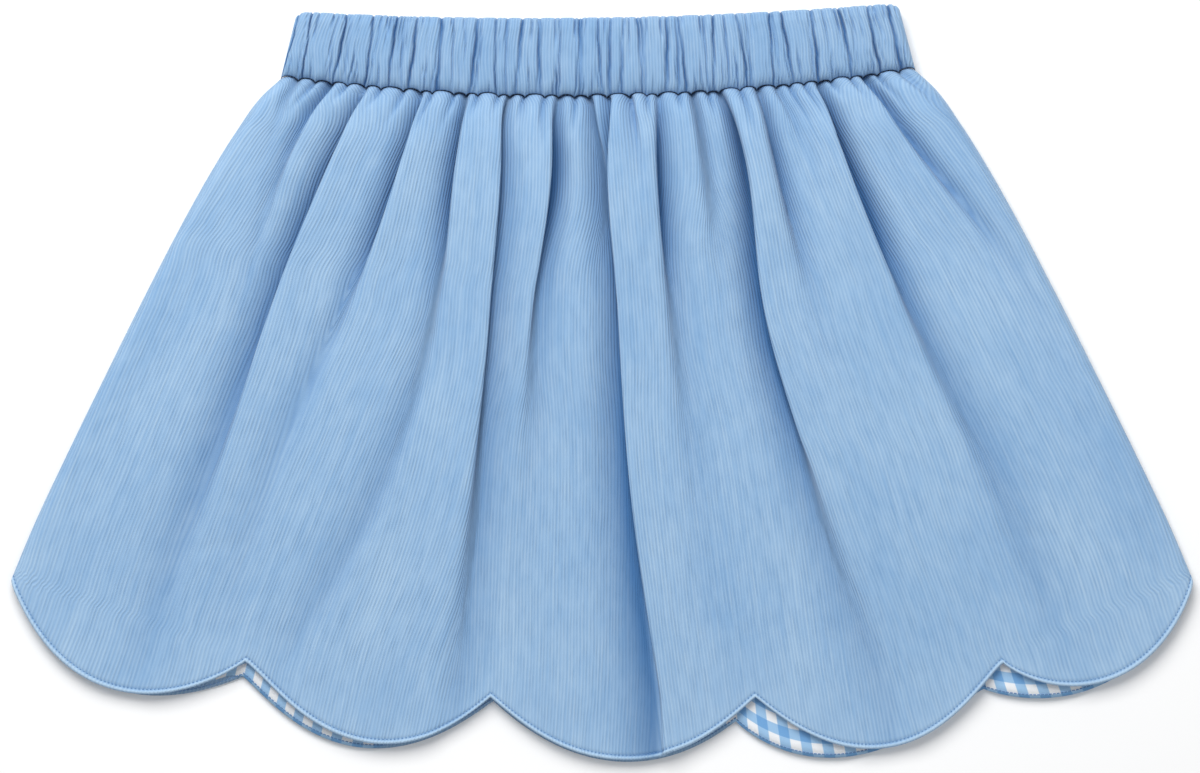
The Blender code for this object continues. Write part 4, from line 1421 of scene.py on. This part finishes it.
    def _half(self, name: str, node: str, front: bool, columns: int) -> bpy.types.Object:
        """Makes one half of the casing.

        Args:
            name: the piece's name.
            node: the node that it replaces.
            front: whether it is the half towards the camera.
            columns: how many columns it has.

        Returns:
            The piece.
        """
        across, up = np.meshgrid(np.linspace(0, 1, columns + 1), self.up)
        inner, side = (BAND_INNER_Z, 1) if front else (BAND_INNER_Z - APART, -1)
        crease = self.relief_at(across, up)
        rise = self._rise(across, through(self.out_up, self.out, up), crease, front)
        x, y = self._place(across, up, BAND_TOP_DIP * self.relief_at(across, np.ones_like(across)))
        outer = np.stack([x, y, inner + side * rise], axis=-1)
        back = np.stack([x, y, np.full_like(x, inner)], axis=-1)
        uv = np.stack([self._cloth(across, crease), self.cloth_start + up * self.cloth_height], axis=-1)
        shade = self._shade(up, crease, front)
        pairs = ((outer, back), (uv, uv), (shade, 0 * shade))
        grids = [np.concatenate([near, far[::-1][1:]])[::-1] for near, far in pairs]
        obj = Patch(*grids).mesh(name, self.finishes.corduroy, closed=True)
        cap_ends(obj)
        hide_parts(node)
        return obj

    def _cloth(self, across: Array, crease: Array) -> Array:
        """Returns the cloth's place across, in mm: the creases take more of it than the ridges."""
        steps = np.gradient(across * BAND_CLOTH_WIDTH, axis=1)
        along = np.cumsum(np.hypot(steps, 0.3 * np.gradient(crease, axis=1)), axis=1)
        return along - along[:, along.shape[1] // 2][:, None]

    def build(self) -> list[bpy.types.Object]:
        """Returns both halves."""
        front = self._half("waistband_front_casing", "waistband_front", True, BAND_GATHERS * 26)
        back = self._half("waistband_back_casing", "waistband_back", False, BAND_GATHERS * 12)
        return [front, back]


def cap_ends(obj: bpy.types.Object) -> None:
    """Fills the open ends of a tube.

    Args:
        obj: the tube.
    """
    work = bmesh.new()
    work.from_mesh(obj.data)
    edges = [e for e in work.edges if e.is_boundary]
    bmesh.ops.holes_fill(work, edges=edges, sides=0)
    bmesh.ops.recalc_face_normals(work, faces=work.faces)
    work.to_mesh(obj.data)
    work.free()


class Stitching:
    """Rows of stitches: each a short, round thread that dips into the cloth at both ends."""

    sides = 6
    dip = 0.3
    profile: tuple[tuple[float, float], ...] = (
        (-0.5, 0.3), (-0.38, 0.9), (0.0, 1.0), (0.38, 0.9), (0.5, 0.3),
    )

    def __init__(self, finishes: Finishes) -> None:
        """Keeps the materials, for the thread's."""
        self.finishes = finishes

    def _rings(self, point: Array, along: Array, length: float) -> list[Array]:
        """Returns the corners of one stitch, ring by ring."""
        side = np.cross(np.array([0.0, 0.0, 1.0]), along)
        side /= np.linalg.norm(side)
        normal = np.cross(along, side)
        turns = np.arange(self.sides) * 2 * math.pi / self.sides
        circle = np.outer(np.cos(turns), side) + np.outer(np.sin(turns), normal)
        corners: list[Array] = []
        for at, thick in self.profile:
            centre = point + along * at * length - normal * (1 - thick) * self.dip
            corners.extend(centre + STITCH_RADIUS * thick * circle)
        return corners

    def _faces(self, first: int) -> list[tuple[int, ...]]:
        """Returns the faces of one stitch whose corners start at `first`, with both ends closed."""
        faces: list[tuple[int, ...]] = []
        for k in range(len(self.profile) - 1):
            start = first + k * self.sides
            for j in range(self.sides):
                a, b = start + j, start + (j + 1) % self.sides
                faces.append((a, b, b + self.sides, a + self.sides))
        last = first + (len(self.profile) - 1) * self.sides
        faces.append(tuple(range(first, first + self.sides))[::-1])
        faces.append(tuple(range(last, last + self.sides)))
        return faces

    def along(self, name: str, points: Array, directions: Array, length: float) -> bpy.types.Object:
        """Makes one object of stitches.

        Args:
            name: its name.
            points: the middle of each stitch.
            directions: the direction of each stitch.
            length: how long each stitch is, in mm.

        Returns:
            The object.
        """
        corners: list[Array] = []
        faces: list[tuple[int, ...]] = []
        for point, direction in zip(points, directions):
            faces += self._faces(len(corners))
            corners += self._rings(point, direction, length)
        mesh = bpy.data.meshes.new(name)
        mesh.from_pydata([tuple(corner * MM) for corner in corners], [], faces)
        mesh.shade_smooth()
        mesh.materials.append(self.finishes.thread)
        obj = bpy.data.objects.new(name, mesh)
        bpy.context.scene.collection.objects.link(obj)
        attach(obj, "root")
        return obj


@dataclass(frozen=True)
class Lamp:
    """A soft square light that faces the middle: its place and size in metres, and its watts."""

    name: str
    place: tuple[float, float, float]
    size: float
    power: float


class Studio:
    """The pale surface, the soft lights and the camera above."""

    lens, sensor = 135.0, 36.0
    view_width = 0.492
    aim = (-0.0008, -0.0021)
    lamps = (
        Lamp("overhead", (-0.28, 0.9, 1.2), 1.0, 25.5),
        Lamp("fill", (0.5, -0.4, 1.6), 1.4, 5.0),
    )
    air, air_strength = (0.97, 0.985, 1.0, 1.0), 0.34
    floor_half, floor_z = 3.0, -0.0002
    floor_colour, floor_roughness = (0.9, 0.9, 0.9, 1.0), 0.9

    def build(self) -> None:
        """Adds the camera, the floor, the lights and the surroundings."""
        self._camera()
        self._floor()
        for lamp in self.lamps:
            self._light(lamp)
        world = bpy.data.worlds.new("surroundings")
        world.use_nodes = True
        background = world.node_tree.nodes["Background"]
        background.inputs[0].default_value = self.air
        background.inputs[1].default_value = self.air_strength
        bpy.context.scene.world = world
        bpy.context.scene.view_settings.view_transform = "Standard"

    def _camera(self) -> None:
        """Hangs the camera over the skirt, facing straight down."""
        data = bpy.data.cameras.new("camera")
        data.lens, data.sensor_width = self.lens, self.sensor
        data.clip_end = 10.0
        camera = bpy.data.objects.new("camera", data)
        camera.location = (*self.aim, self.view_width * self.lens / self.sensor)
        bpy.context.scene.collection.objects.link(camera)
        bpy.context.scene.camera = camera

    def _floor(self) -> None:
        """Lays the plain surface just under the skirt."""
        mesh = bpy.data.meshes.new("surface")
        near, far = -self.floor_half, self.floor_half
        corners = [(near, near, 0), (far, near, 0), (far, far, 0), (near, far, 0)]
        mesh.from_pydata(corners, [], [(0, 1, 2, 3)])
        material = bpy.data.materials.new("surface")
        material.use_nodes = True
        shader = material.node_tree.nodes["Principled BSDF"]
        shader.inputs["Base Color"].default_value = self.floor_colour
        shader.inputs["Roughness"].default_value = self.floor_roughness
        mesh.materials.append(material)
        floor = bpy.data.objects.new("surface", mesh)
        floor.location.z = self.floor_z
        bpy.context.scene.collection.objects.link(floor)

    def _light(self, lamp: Lamp) -> None:
        """Adds one light."""
        data = bpy.data.lights.new(lamp.name, "AREA")
        data.size, data.energy = lamp.size, lamp.power
        light = bpy.data.objects.new(lamp.name, data)
        light.location = lamp.place
        light.rotation_euler = (-Vector(lamp.place)).to_track_quat("-Z", "Y").to_euler()
        bpy.context.scene.collection.objects.link(light)


def main() -> None:
    """Builds the looks."""
    logging.basicConfig(level=logging.INFO, format="%(message)s")
    Studio().build()
    finishes = Finishes()
    front = FrontCloth(finishes)
    pieces = front.build()
    pieces += BackCloth(finishes, front).build()
    pieces += Waistband(finishes, front.relief).build()
    for piece in pieces:
        LOG.info("%s: %d faces", piece.name, len(piece.data.polygons))


if __name__ == "__main__":
    main()
